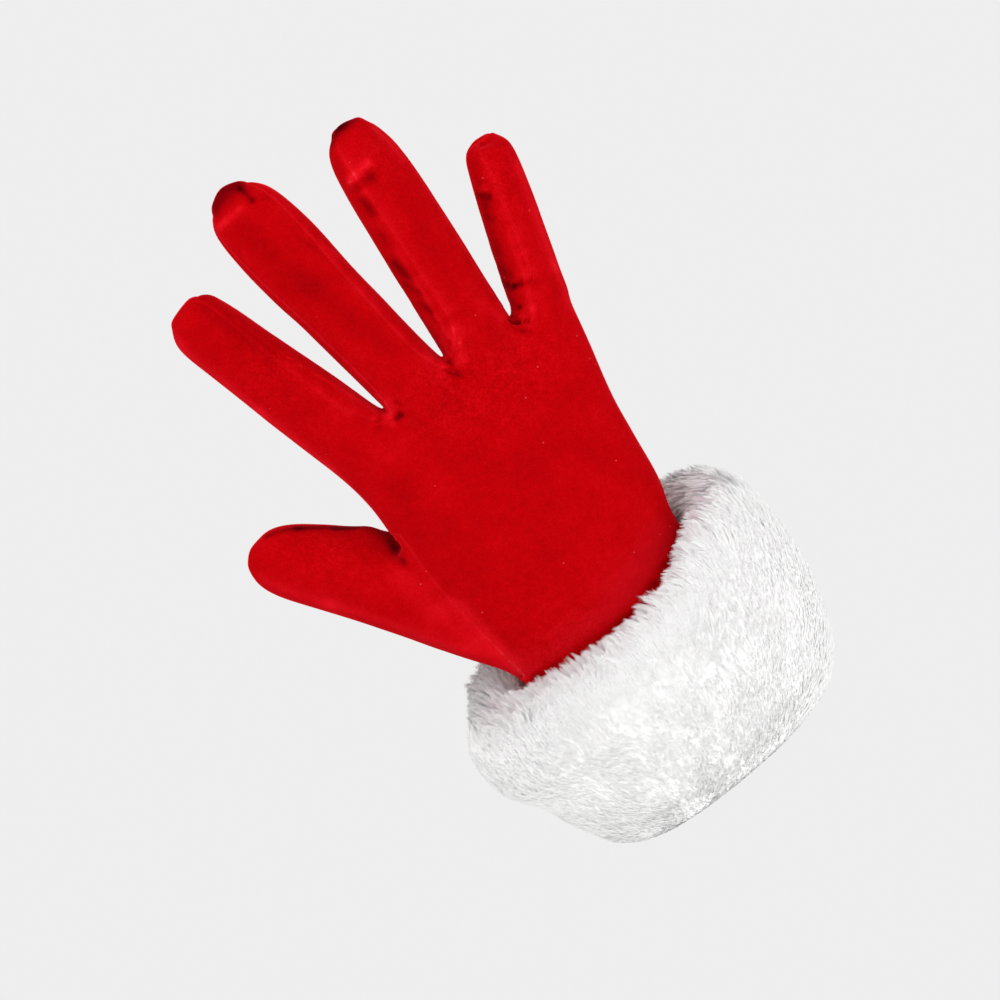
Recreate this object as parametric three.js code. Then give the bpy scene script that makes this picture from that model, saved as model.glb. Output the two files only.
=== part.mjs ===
// A costume glove in its worn form: red velvet cloth with a deep white plush cuff round the wrist.
// The cloth is a back panel and a palm panel, which meet along both outer edges and over the fingertips,
// a thumb set into the side with its own gusset, and three forked gussets, each lining the facing sides
// of two fingers and the web between them. All of them are thin walls round one hollow, open at the wrist.
// Millimetres. +Z runs from the wrist opening to the fingertips, the back of the glove faces -Y, and the
// thumb is at -X. The origin is the middle of the wrist opening.
import * as THREE from "three";

// Cloth and clearances
const clothThickness = 1.2;
const seamGap = 0.5; // between the cut edges of neighbouring panels
const cuffClearance = 0.5; // between the cloth and the inside of the cuff
const mostFold = 0.62; // least cosine that a fold's wall depth is worked out for
const mostMitre = 5; // longest set-back at the corner of a cut edge, in half gaps

// How finely the cloth is divided
const backSegments = 5; // across a finger's back, and across its palm side
const sideSegments = 4; // round a finger's side
const fingerCount = 4;
const ringSegments = 2 * (backSegments + sideSegments);
const palmAcross = backSegments * fingerCount;
const palmSegments = 2 * (palmAcross + sideSegments);

// Each finger: the ends of its middle line, its roll in degrees (its back turns towards +X), and its
// sections. along is the share of its length, wide and deep are half sizes, and gusset is half of the
// angle that its side gusset covers.
const fingers = [
  {
    root: [-24.5, 0.5, 154],
    tip: [-40.0, 4, 218.6],
    roll: -20,
    sections: [
      { along: 0.0, wide: 12.6, deep: 10.4, gusset: 48 },
      { along: 0.15, wide: 12.3, deep: 9.8, gusset: 47 },
      { along: 0.32, wide: 11.8, deep: 9.4, gusset: 46 },
      { along: 0.5, wide: 11.3, deep: 9.1, gusset: 44 },
      { along: 0.67, wide: 10.8, deep: 8.8, gusset: 40 },
      { along: 0.84, wide: 10.4, deep: 8.4, gusset: 33 },
      { along: 0.93, wide: 9.2, deep: 7.1, gusset: 25 },
      { along: 0.98, wide: 6.4, deep: 4.8, gusset: 18 },
    ],
  },
  {
    root: [0, -1.5, 154],
    tip: [-6.9, 3, 236.6],
    roll: -8,
    sections: [
      { along: 0.0, wide: 12.0, deep: 10.8, gusset: 47 },
      { along: 0.13, wide: 11.7, deep: 10.2, gusset: 45 },
      { along: 0.3, wide: 11.8, deep: 9.7, gusset: 43 },
      { along: 0.5, wide: 12.1, deep: 9.5, gusset: 41 },
      { along: 0.68, wide: 12.9, deep: 9.4, gusset: 38 },
      { along: 0.86, wide: 12.1, deep: 8.8, gusset: 31 },
      { along: 0.94, wide: 10.2, deep: 7.4, gusset: 24 },
      { along: 0.985, wide: 7.2, deep: 5.0, gusset: 18 },
    ],
  },
  {
    root: [23.6, -0.5, 154],
    tip: [34.2, 4, 229.6],
    roll: 28,
    sections: [
      { along: 0.0, wide: 12.4, deep: 10.4, gusset: 48 },
      { along: 0.13, wide: 12.3, deep: 9.8, gusset: 48 },
      { along: 0.3, wide: 12.2, deep: 9.4, gusset: 47 },
      { along: 0.5, wide: 12.3, deep: 9.2, gusset: 45 },
      { along: 0.68, wide: 11.9, deep: 8.9, gusset: 41 },
      { along: 0.85, wide: 11.2, deep: 8.4, gusset: 34 },
      { along: 0.94, wide: 9.6, deep: 7.0, gusset: 25 },
      { along: 0.985, wide: 6.4, deep: 4.6, gusset: 18 },
    ],
  },
  {
    root: [46.4, 2.5, 152],
    tip: [65.0, 8, 200.8],
    roll: 38,
    sections: [
      { along: 0.0, wide: 10.8, deep: 9.6, gusset: 49 },
      { along: 0.15, wide: 9.7, deep: 8.9, gusset: 49 },
      { along: 0.32, wide: 9.1, deep: 8.3, gusset: 48 },
      { along: 0.5, wide: 8.8, deep: 7.9, gusset: 46 },
      { along: 0.67, wide: 8.6, deep: 7.6, gusset: 42 },
      { along: 0.84, wide: 8.2, deep: 7.0, gusset: 34 },
      { along: 0.93, wide: 7.2, deep: 5.8, gusset: 25 },
      { along: 0.98, wide: 4.8, deep: 3.8, gusset: 18 },
    ],
  },
];
const fingerRoundness = 2.2; // exponent of the section's outline: 2 is an ellipse

// The webs between the fingers: crotch is the height of the notch, which falls away by drop towards the
// back and the palm side, deep away from the middle plane y.
const webs = [
  { x: -12.2, y: -0.5, crotch: 159.5, drop: 6, deep: 7 },
  { x: 11.9, y: -1, crotch: 159.5, drop: 6, deep: 7 },
  { x: 35.4, y: 1, crotch: 156.5, drop: 6, deep: 6.5 },
];

// Sections of the glove below the webs, down to the hem inside the cuff. arch is the share that a
// section keeps of the fingers' arches above it.
const palmSections = [
  { z: 144, left: -34.0, right: 50.3, deep: 13.0, y: 0, arch: 0.6 },
  { z: 134, left: -34.0, right: 48.8, deep: 14.0, y: 0.5, arch: 0.28 },
  { z: 124.5, left: -36.0, right: 46.8, deep: 15.0, y: 1, arch: 0.1 },
  { z: 111, left: -37.5, right: 44.0, deep: 16.0, y: 1.5, arch: 0 },
  { z: 97, left: -37.0, right: 41.8, deep: 17.2, y: 1.8, arch: 0 },
  { z: 82, left: -36.0, right: 39.6, deep: 18.6, y: 1.8, arch: 0 },
  { z: 66, left: -34.4, right: 37.2, deep: 20.0, y: 1.2, arch: 0 },
  { z: 50, left: -32.8, right: 34.8, deep: 21.0, y: 0.6, arch: 0 },
  { z: 34, left: -31.4, right: 32.6, deep: 21.4, y: 0.2, arch: 0 },
  { z: 18, left: -31.0, right: 31.4, deep: 21.6, y: 0, arch: 0 },
  { z: 2, left: -31.4, right: 31.4, deep: 22.0, y: 0, arch: 0 },
];
const palmRoundness = 2.6;
const sideShare = 0.93; // where a panel's flat part ends, as a share of the half width

// The thumb's opening in the side of the glove, in rows and columns of the grid below the webs.
const thumbHole = { top: 3, bottom: 7, backColumn: 4, palmColumn: 42 };
const thumbSections = [
  { x: -44.6, y: 10, z: 104.6, wide: 16.6, deep: 14.5, join: 0.35 },
  { x: -46.6, y: 11.5, z: 110.4, wide: 15.6, deep: 13.4, join: 0.7 },
  { x: -48.3, y: 12.5, z: 114.7, wide: 14.8, deep: 12.4, join: 1 },
  { x: -55.2, y: 14.5, z: 123.7, wide: 14.0, deep: 11.4, join: 1 },
  { x: -61.9, y: 16.5, z: 131.6, wide: 12.8, deep: 10.4, join: 1 },
  { x: -67.3, y: 18, z: 137.6, wide: 11.4, deep: 9.0, join: 1 },
  { x: -71.2, y: 19, z: 141.8, wide: 9.0, deep: 6.8, join: 1 },
  { x: -73.8, y: 19.6, z: 143.8, wide: 5.4, deep: 4.2, join: 1 },
];
const thumbAxis = new THREE.Vector3(-0.66, 0.16, 0.73).normalize();

// Dents and swellings of the soft cloth: the cloth sinks by depth at a place, and less within reach.
const dents = [
  { x: -8.0, y: -3, z: 233.0, reach: 5.5, depth: 1.6 }, // the hollow tip of the middle finger
  { x: -2.0, y: -8, z: 226.0, reach: 6, depth: -0.6 }, // the ridge below that hollow
  { x: 31.0, y: 0, z: 227.0, reach: 5, depth: 0.9 }, // the ring finger's tip
  { x: 22.5, y: -6, z: 196.0, reach: 5, depth: 0.7 }, // puckers along the ring finger's gusset
  { x: 18.5, y: -6, z: 178.0, reach: 5, depth: 0.7 },
  { x: 45.5, y: 0, z: 166.0, reach: 5, depth: 0.7 }, // a pucker along the little finger's gusset
  { x: -38.5, y: 2, z: 118.0, reach: 7, depth: 1.4 }, // the fold between the thumb and the hand
  { x: -12.0, y: -9, z: 148.0, reach: 6, depth: 0.9 }, // the gathers at the ends of the three webs
  { x: 13.0, y: -9, z: 148.0, reach: 6, depth: 0.9 },
  { x: 38.0, y: -7, z: 146.0, reach: 6, depth: 0.9 },
  { x: 25.0, y: -11, z: 140.0, reach: 8, depth: -0.5 }, // the knuckles of the ring and index fingers
  { x: -22.0, y: -11, z: 142.0, reach: 8, depth: -0.5 },
];
const capBulge = 0.35; // how far a closed tip domes out, as a share of its half width

// The cuff: sections of its outer form, and of the rim's inner slope down to the groove where it meets
// the cloth. x is a section's middle. Heights at the groove's level rise with x by rimSlope and with y by
// rimTilt, because the rim isn't quite level.
const cuffOutline = [
  { z: 0, x: 0.6, wide: 39.5, deep: 29 },
  { z: 2.5, x: 1.0, wide: 44, deep: 33 },
  { z: 10, x: 1.5, wide: 49, deep: 37.5 },
  { z: 20, x: 1.6, wide: 53.5, deep: 41.5 },
  { z: 32, x: 1.4, wide: 57.4, deep: 45.5 },
  { z: 45, x: -0.8, wide: 61.5, deep: 48.5 },
  { z: 56, x: -1.4, wide: 62, deep: 49.5 },
  { z: 64, x: -0.8, wide: 60, deep: 47.5 },
  { z: 70, x: 0.4, wide: 55.5, deep: 43 },
  { z: 71, x: 1.0, wide: 49.5, deep: 37.5 },
  { z: 66, x: 1.2, wide: 43.5, deep: 31 },
];
const cuffRoundness = 2.15;
const rimSlope = 0.06;
const rimTilt = 0.07;
const grooveZ = 50;

// A signed power, which makes an ellipse's outline squarer when its exponent is over 2.
const power = (value, exponent) => Math.sign(value) * Math.abs(value) ** exponent;
const degrees = THREE.MathUtils.degToRad;

// All the cloth is one net of four-sided faces, each with the name of its panel.
const points = [];
const faces = [];
const addPoint = (point) => points.push(point) - 1;
const addFace = (panel, a, b, c, d) => faces.push({ panel, corners: [a, b, c, d] });

// A finger's own axes: along it, across it towards +X, and out of its back, turned by its roll.
function fingerAxes({ root, tip, roll }) {
  const along = new THREE.Vector3(...tip).sub(new THREE.Vector3(...root)).normalize();
  const level = new THREE.Vector3(along.z, 0, -along.x).normalize();
  const up = new THREE.Vector3().crossVectors(level, along);
  const turn = degrees(roll);
  const across = level.clone().multiplyScalar(Math.cos(turn)).addScaledVector(up, -Math.sin(turn));
  const back = up.clone().multiplyScalar(Math.cos(turn)).addScaledVector(level, Math.sin(turn));
  return { along, across, back };
}

// The angle of a ring's point: its right side first, then the back, the left side and the palm side.
function ringAngle(index, gusset) {
  const half = sideSegments / 2;
  const flat = 180 - 2 * gusset;
  const i = index % ringSegments;
  if (i <= sideSegments) return ((i - half) / half) * gusset;
  if (i <= sideSegments + backSegments)
    return gusset + ((i - sideSegments) / backSegments) * flat;
  if (i <= 2 * sideSegments + backSegments)
    return 180 + ((i - backSegments - sideSegments - half) / half) * gusset;
  return 180 + gusset + ((i - 2 * sideSegments - backSegments) / backSegments) * flat;
}

function fingerPoint(finger, section, index) {
  const { across, back } = fingerAxes(finger);
  const angle = degrees(ringAngle(index, section.gusset));
  const middle = new THREE.Vector3(...finger.root).lerp(
    new THREE.Vector3(...finger.tip),
    section.along,
  );
  return middle
    .addScaledVector(across, section.wide * power(Math.cos(angle), 2 / fingerRoundness))
    .addScaledVector(back, section.deep * power(Math.sin(angle), 2 / fingerRoundness));
}

// A point of the glove below the webs. Columns go up the left side, across the back to the right, down
// the right side, and back across the palm side.
function palmPoint(section, column) {
  const half = sideSegments / 2;
  const sideAngle = Math.acos(sideShare ** (palmRoundness / 2));
  const middle = (section.left + section.right) / 2;
  const wide = (section.right - section.left) / 2;
  let share;
  let side;
  if (column <= sideSegments) {
    const angle = Math.PI + ((half - column) / half) * sideAngle;
    share = power(Math.cos(angle), 2 / palmRoundness);
    side = power(Math.sin(angle), 2 / palmRoundness);
  } else if (column < sideSegments + palmAcross) {
    share = sideShare * (((column - sideSegments) / palmAcross) * 2 - 1);
    side = (1 - Math.abs(share) ** palmRoundness) ** (1 / palmRoundness);
  } else if (column <= 2 * sideSegments + palmAcross) {
    const angle = ((sideSegments + palmAcross + half - column) / half) * sideAngle;
    share = power(Math.cos(angle), 2 / palmRoundness);
    side = power(Math.sin(angle), 2 / palmRoundness);
  } else {
    share = sideShare * (1 - ((column - 2 * sideSegments - palmAcross) / palmAcross) * 2);
    side = -((1 - Math.abs(share) ** palmRoundness) ** (1 / palmRoundness));
  }
  return new THREE.Vector3(middle + wide * share, section.y - section.deep * side, section.z);
}

// The five points of a web, from its palm side over the crotch to its back.
const webPoints = webs.map((web) =>
  Array.from({ length: sideSegments + 1 }, (_, i) => {
    const off = 1 - (2 * i) / sideSegments;
    const z = web.crotch - web.drop * Math.abs(off) ** 1.6;
    return addPoint(new THREE.Vector3(web.x, web.y + off * web.deep, z));
  }),
);

// The palm column that a point of a finger's first ring stands on, or its web's point.
function rootPoint(k, index, palmRow) {
  const i = index % ringSegments;
  const rightPalm = 2 * sideSegments + palmAcross;
  if (i <= sideSegments)
    return k < webs.length ? webPoints[k][i] : palmRow[rightPalm - i];
  if (i < sideSegments + backSegments)
    return palmRow[sideSegments + backSegments * k + (sideSegments + backSegments - i)];
  if (i <= 2 * sideSegments + backSegments)
    return k > 0
      ? webPoints[k - 1][2 * sideSegments + backSegments - i]
      : palmRow[2 * sideSegments + backSegments - i];
  return palmRow[rightPalm + backSegments * (fingerCount - 1 - k) + (ringSegments - i)];
}

// The first row is where the fingers stand: its points come from their root sections and the webs.
function firstRow() {
  const row = new Array(palmSegments);
  const rightPalm = 2 * sideSegments + palmAcross;
  webPoints.forEach((web, k) => {
    row[sideSegments + backSegments * (k + 1)] = web[sideSegments];
    row[rightPalm + backSegments * (fingerCount - 1 - k)] = web[0];
  });
  fingers.forEach((finger, k) => {
    for (let i = 0; i < ringSegments; i++) {
      const onWeb =
        (i <= sideSegments && k < webs.length) ||
        (i >= sideSegments + backSegments && i <= 2 * sideSegments + backSegments && k > 0);
      if (onWeb) continue;
      let column;
      if (i <= sideSegments) column = rightPalm - i;
      else if (i < sideSegments + backSegments)
        column = sideSegments + backSegments * k + (sideSegments + backSegments - i);
      else if (i <= 2 * sideSegments + backSegments) column = 2 * sideSegments + backSegments - i;
      else column = rightPalm + backSegments * (fingerCount - 1 - k) + (ringSegments - i);
      column %= palmSegments;
      if (row[column] === undefined)
        row[column] = addPoint(fingerPoint(finger, finger.sections[0], i));
    }
  });
  return row;
}

const palmRows = [firstRow()];
for (const section of palmSections)
  palmRows.push(
    Array.from({ length: palmSegments }, (_, column) => {
      const above = points[palmRows[0][column]].clone();
      above.z = section.z;
      return addPoint(palmPoint(section, column).lerp(above, section.arch));
    }),
  );

// Which panel a column below the webs belongs to: the outer edges are halved between back and palm.
function palmPanel(column) {
  const half = sideSegments / 2;
  const rightBack = sideSegments + palmAcross;
  return column >= half && column < rightBack + half ? "back_panel" : "palm_panel";
}

const inThumbHole = (row, column) =>
  row >= thumbHole.top &&
  row < thumbHole.bottom &&
  (column >= thumbHole.palmColumn || column < thumbHole.backColumn);

for (let r = 0; r + 1 < palmRows.length; r++)
  for (let c = 0; c < palmSegments; c++) {
    if (inThumbHole(r, c)) continue;
    const next = (c + 1) % palmSegments;
    addFace(
      palmPanel(c),
      palmRows[r][c],
      palmRows[r + 1][c],
      palmRows[r + 1][next],
      palmRows[r][next],
    );
  }

const gussetNames = ["gusset_index_middle", "gusset_middle_ring", "gusset_ring_little"];

// Which panel a strip of a finger belongs to: its inner sides are gussets, its outer ones halved.
function fingerPanel(k, index) {
  const half = sideSegments / 2;
  if (index < sideSegments) {
    if (k < webs.length) return gussetNames[k];
    return index < half ? "palm_panel" : "back_panel";
  }
  if (index < sideSegments + backSegments) return "back_panel";
  if (index < 2 * sideSegments + backSegments) {
    if (k > 0) return gussetNames[k - 1];
    return index < sideSegments + backSegments + half ? "back_panel" : "palm_panel";
  }
  return "palm_panel";
}

// Closes a ring with a domed patch of across by down faces, whose first corner is ring point start.
function closeTip(ring, start, across, down, axis, bulge, panelOf) {
  const size = ring.length;
  const at = (i) => ring[(start + i + size) % size];
  const patch = [];
  for (let p = 0; p <= across; p++) {
    patch.push([]);
    for (let q = 0; q <= down; q++) {
      if (q === 0) patch[p].push(at(p));
      else if (q === down) patch[p].push(at(-down - p));
      else if (p === 0) patch[p].push(at(-q));
      else if (p === across) patch[p].push(at(across + q));
      else {
        const u = p / across;
        const v = q / down;
        const blend = new THREE.Vector3()
          .addScaledVector(points[at(p)], 1 - v)
          .addScaledVector(points[at(-down - p)], v)
          .addScaledVector(points[at(-q)], 1 - u)
          .addScaledVector(points[at(across + q)], u)
          .addScaledVector(points[at(0)], -(1 - u) * (1 - v))
          .addScaledVector(points[at(across)], -u * (1 - v))
          .addScaledVector(points[at(-down)], -(1 - u) * v)
          .addScaledVector(points[at(across + down)], -u * v);
        const dome = 16 * u * (1 - u) * v * (1 - v);
        patch[p].push(addPoint(blend.addScaledVector(axis, bulge * Math.sqrt(dome))));
      }
    }
  }
  for (let p = 0; p < across; p++)
    for (let q = 0; q < down; q++)
      addFace(panelOf(q), patch[p][q], patch[p][q + 1], patch[p + 1][q + 1], patch[p + 1][q]);
}

function tubeFaces(rings, panelOf) {
  for (let s = 0; s + 1 < rings.length; s++)
    for (let i = 0; i < rings[s].length; i++) {
      const next = (i + 1) % rings[s].length;
      addFace(panelOf(i), rings[s][i], rings[s + 1][i], rings[s + 1][next], rings[s][next]);
    }
}

fingers.forEach((finger, k) => {
  const rings = finger.sections.map((section, s) =>
    Array.from({ length: ringSegments }, (_, i) =>
      s === 0 ? rootPoint(k, i, palmRows[0]) : addPoint(fingerPoint(finger, section, i)),
    ),
  );
  tubeFaces(rings, (i) => fingerPanel(k, i));
  const last = finger.sections.at(-1);
  closeTip(
    rings.at(-1),
    sideSegments,
    backSegments,
    sideSegments,
    fingerAxes(finger).along,
    capBulge * last.wide,
    (q) => (q < sideSegments / 2 ? "back_panel" : "palm_panel"),
  );
});

// The thumb grows out of the edge of its opening: down the back edge, along the bottom to the palm side,
// up the palm edge, and back along the top. Its first sections are drawn towards that edge.
function thumbOpening() {
  const { top, bottom, backColumn, palmColumn } = thumbHole;
  const rows = bottom - top;
  const columns = palmSegments - palmColumn + backColumn;
  const column = (i) => (backColumn - i + palmSegments) % palmSegments;
  const loop = [];
  for (let i = 0; i < rows; i++) loop.push(palmRows[top + i][backColumn]);
  for (let i = 0; i < columns; i++) loop.push(palmRows[bottom][column(i)]);
  for (let i = 0; i < rows; i++) loop.push(palmRows[bottom - i][palmColumn]);
  for (let i = 0; i < columns; i++) loop.push(palmRows[top][column(columns - i)]);
  return { loop, rows, columns };
}

const opening = thumbOpening();
const thumbAcross = new THREE.Vector3(-thumbAxis.z, 0, thumbAxis.x).negate().normalize();
const thumbBack = new THREE.Vector3().crossVectors(thumbAcross, thumbAxis);
const thumbRings = [opening.loop];
for (const section of thumbSections) {
  const step = 360 / opening.loop.length;
  const start = 90 - (opening.rows / 2) * step;
  thumbRings.push(
    opening.loop.map((edge, i) => {
      const angle = degrees(start + i * step);
      const point = new THREE.Vector3(section.x, section.y, section.z)
        .addScaledVector(thumbAcross, section.wide * Math.cos(angle))
        .addScaledVector(thumbBack, section.deep * Math.sin(angle));
      return addPoint(points[edge].clone().lerp(point, section.join));
    }),
  );
}
tubeFaces(thumbRings, () => "thumb");
closeTip(
  thumbRings.at(-1),
  0,
  opening.rows,
  opening.columns,
  thumbAxis,
  capBulge * thumbSections.at(-1).wide,
  () => "thumb",
);

// The outward direction at each point of the net, shared by the panels that meet there, and the length
// that the cloth's inside lies behind it, which is more in a fold so that the wall keeps its thickness.
const faceNormal = ({ corners }) => {
  const [a, b, c, d] = corners.map((i) => points[i]);
  return new THREE.Vector3().crossVectors(c.clone().sub(a), d.clone().sub(b)).normalize();
};
function pointNormals() {
  const normals = points.map(() => new THREE.Vector3());
  for (const face of faces) face.corners.forEach((i) => normals[i].add(faceNormal(face)));
  return normals.map((direction) => direction.normalize());
}
pointNormals().forEach((direction, i) => {
  for (const { x, y, z, reach, depth } of dents) {
    const near = Math.exp(-points[i].distanceToSquared(new THREE.Vector3(x, y, z)) / reach ** 2);
    if (near > 0.02) points[i].addScaledVector(direction, -depth * near);
  }
});
const outward = pointNormals();
const facing = points.map(() => []);
for (const face of faces)
  face.corners.forEach((i) => facing[i].push(faceNormal(face).dot(outward[i])));
const mean = (values) => values.reduce((sum, value) => sum + value, 0) / values.length;
const wallDepth = facing.map((values) => clothThickness / Math.max(mostFold, mean(values)));

// Two triangles for each four-sided face, split along its shorter diagonal.
function splitFace(corners, place, out) {
  const [a, b, c, d] = corners;
  const flip = place[a].distanceTo(place[c]) > place[b].distanceTo(place[d]);
  if (flip) out.push(a, b, d, b, c, d);
  else out.push(a, b, c, a, c, d);
}

// One panel as a closed wall: its outside, the same net moved in by the cloth's thickness, and its cut
// edges. The edges stand back from the seam by half the gap, square to the edge within the cloth.
function panelGeometry(panel) {
  const mine = faces.filter((face) => face.panel === panel);
  const used = [...new Set(mine.flatMap((face) => face.corners))];
  const local = new Map(used.map((index, i) => [index, i]));
  const edges = new Map();
  for (const face of mine)
    face.corners.forEach((from, i) => {
      const to = face.corners[(i + 1) % face.corners.length];
      edges.set(`${from},${to}`, [from, to]);
    });
  const border = [...edges.values()].filter(([from, to]) => !edges.has(`${to},${from}`));
  const inward = used.map(() => []);
  for (const [from, to] of border) {
    const along = points[to].clone().sub(points[from]);
    for (const end of [from, to])
      inward[local.get(end)].push(new THREE.Vector3().crossVectors(outward[end], along).normalize());
  }
  const outside = used.map((index, i) => {
    const place = points[index].clone();
    if (inward[i].length === 0) return place;
    const [a, b] = inward[i];
    const reach = Math.min(mostMitre, 1 / (1 + a.dot(b)));
    return place.addScaledVector(a.clone().add(b), (seamGap / 2) * reach);
  });
  const inside = used.map((index, i) =>
    outside[i].clone().addScaledVector(outward[index], -wallDepth[index]),
  );
  const place = [...outside, ...inside];
  const triangles = [];
  for (const { corners } of mine) {
    const ids = corners.map((i) => local.get(i));
    splitFace(ids, place, triangles);
    splitFace(ids.map((i) => i + used.length).reverse(), place, triangles);
  }
  for (const [from, to] of border) {
    const [a, b] = [local.get(from), local.get(to)];
    const [a2, b2] = [a + used.length, b + used.length];
    if (from < to) triangles.push(a, a2, b2, a, b2, b);
    else triangles.push(b, a, a2, b, a2, b2);
  }
  return closedGeometry(place, triangles);
}

function closedGeometry(place, triangles) {
  const geometry = new THREE.BufferGeometry();
  geometry.setAttribute(
    "position",
    new THREE.Float32BufferAttribute(place.flatMap((p) => [p.x, p.y, p.z]), 3),
  );
  geometry.setIndex(triangles);
  geometry.computeVertexNormals();
  return geometry;
}

// The cuff is a closed profile carried round the wrist: out under the pile, up its outside, over the rim,
// down the slope to the groove, and down the inside, which follows the cloth. Columns match the cloth's.
function cuffGeometry() {
  const inner = palmSections.filter((section) => section.z <= grooveZ);
  const hem = inner.at(-1);
  const size = cuffOutline.length + inner.length;
  const place = [];
  const triangles = [];
  for (let column = 0; column < palmSegments; column++) {
    const near = palmPoint(hem, column);
    const middle = (hem.left + hem.right) / 2;
    const turn = Math.atan2(
      power((near.y - hem.y) / hem.deep, palmRoundness / 2),
      power((near.x - middle) / (hem.right - middle), palmRoundness / 2),
    );
    for (const { z, x, wide, deep } of cuffOutline) {
      const out = x + wide * power(Math.cos(turn), 2 / cuffRoundness);
      const y = deep * power(Math.sin(turn), 2 / cuffRoundness);
      place.push(new THREE.Vector3(out, y, z + ((rimSlope * out + rimTilt * y) * z) / grooveZ));
    }
    for (const section of inner) {
      const { z, left, right, deep, y } = section;
      const room = {
        z: section === hem ? 0 : z,
        left: left - cuffClearance,
        right: right + cuffClearance,
        deep: deep + cuffClearance,
        y,
      };
      place.push(palmPoint(room, column));
    }
  }
  for (let i = 0; i < palmSegments; i++)
    for (let j = 0; j < size; j++) {
      const [next, up] = [(i + 1) % palmSegments, (j + 1) % size];
      const corners = [i * size + j, next * size + j, next * size + up, i * size + up];
      splitFace(corners, place, triangles);
    }
  return closedGeometry(place, triangles);
}

const velvet = new THREE.MeshStandardMaterial({ color: 0xc2040c, roughness: 0.85, metalness: 0 });
const gussetVelvet = new THREE.MeshStandardMaterial({
  color: 0xc2040c,
  roughness: 0.8,
  metalness: 0,
});
const plush = new THREE.MeshStandardMaterial({ color: 0xf4f3f0, roughness: 0.95, metalness: 0 });

const glove = new THREE.Group();
glove.name = "glove";
function addPiece(name, geometry, material) {
  const mesh = new THREE.Mesh(geometry, material);
  mesh.name = name;
  glove.add(mesh);
}
for (const panel of ["back_panel", "palm_panel", "thumb"])
  addPiece(panel, panelGeometry(panel), velvet);
for (const gusset of gussetNames) addPiece(gusset, panelGeometry(gusset), gussetVelvet);
addPiece("plush_cuff", cuffGeometry(), plush);

export default glove;
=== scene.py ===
"""A red velvet costume glove with a white plush cuff, in the form that it takes when it is worn."""

import math

import bpy
import numpy as np
from mathutils import Matrix, Vector


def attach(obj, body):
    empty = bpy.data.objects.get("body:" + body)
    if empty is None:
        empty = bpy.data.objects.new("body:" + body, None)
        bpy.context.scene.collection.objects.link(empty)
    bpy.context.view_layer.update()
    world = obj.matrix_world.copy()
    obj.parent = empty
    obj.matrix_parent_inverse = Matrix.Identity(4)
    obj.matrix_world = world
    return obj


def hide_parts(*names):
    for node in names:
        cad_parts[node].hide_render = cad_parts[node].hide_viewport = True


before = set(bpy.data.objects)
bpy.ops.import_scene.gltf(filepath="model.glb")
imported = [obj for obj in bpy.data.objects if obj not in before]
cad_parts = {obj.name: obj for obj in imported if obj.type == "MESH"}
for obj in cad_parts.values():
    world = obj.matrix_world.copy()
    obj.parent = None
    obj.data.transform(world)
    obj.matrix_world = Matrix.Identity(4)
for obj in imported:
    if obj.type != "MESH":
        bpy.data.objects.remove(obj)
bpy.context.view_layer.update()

# The view.
# A long lens looks at the back of the glove from slightly above the cuff's rim, rolled so that the
# fingers point to the upper left. Sizes are in metres.
view_centre = np.array([-0.0028, 0.0, 0.1115])
view_distance = 0.86
view_height = math.radians(12)
view_roll = math.radians(40)
picture_width = 0.310

camera = bpy.data.objects.new("camera", bpy.data.cameras.new("camera"))
bpy.context.collection.objects.link(camera)
camera.data.sensor_width = 36
camera.data.lens = 36 * view_distance / picture_width
camera.data.clip_end = 20
towards = np.array([0, -math.cos(view_height), math.sin(view_height)])
level = np.array([1.0, 0, 0])
upright = np.cross(towards, level)
rolled_right = level * math.cos(view_roll) - upright * math.sin(view_roll)
rolled_up = upright * math.cos(view_roll) + level * math.sin(view_roll)
camera.location = view_centre + towards * view_distance
camera.rotation_mode = "QUATERNION"
turned = np.array([rolled_right, rolled_up, towards]).T
camera.rotation_quaternion = Matrix(turned.tolist()).to_quaternion()
bpy.context.scene.camera = camera
bpy.context.scene.view_settings.view_transform = "Standard"

# The light tent.
# A tent of white cloth, lit from outside, whose floor sweeps up into the walls and the roof. The cloth only
# glows, evenly all round. Soft lamps inside it draw the shape. None of it is part of the glove.
tent_floor = -0.30
tent_radius = 3.0
tent_height = 3.4
tent_sweep = 1.2
tent_middle = 0.9
tent_sides, sweep_steps = 96, 12
tent_cloth = (0.0, 0.0, 0.0, 1)
tent_glow = 0.857
lamps = {
    # name: where it stands, its side, its power in watts
    "key_lamp": ((-0.22, -1.12, 0.62), 0.6, 3.0),
    "left_lamp": ((-1.20, -0.75, 0.50), 0.9, 5.3),
    "right_lamp": ((1.15, -0.85, 0.08), 0.9, 5.2),
    "low_lamp": ((0.35, -0.85, -0.24), 0.4, 3.4),
    "under_lamp": ((0.0, -0.07, -0.28), 0.25, 0.24),
    "top_lamp": ((0.0, -0.35, 1.25), 0.9, 4.8),
    "back_lamp": ((0.2, 1.4, 0.6), 1.0, 6.0),
}


def revolved(radius, height, sides):
    """The surface of a profile of radii and heights turned about the upright axis: x and y are the
    radius times the cosine and the sine of the turn, and z is the height."""
    turn = np.linspace(0, 2 * np.pi, sides, endpoint=False)[:, None]
    x = radius * np.cos(turn)
    return np.stack([x, radius * np.sin(turn), np.broadcast_to(height, x.shape)], axis=2)


def grid_faces(ids):
    """Four-sided faces between the neighbouring numbers of a table of point numbers."""
    return np.stack([ids[:-1, :-1], ids[1:, :-1], ids[1:, 1:], ids[:-1, 1:]], axis=2).reshape(-1, 4)


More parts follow.
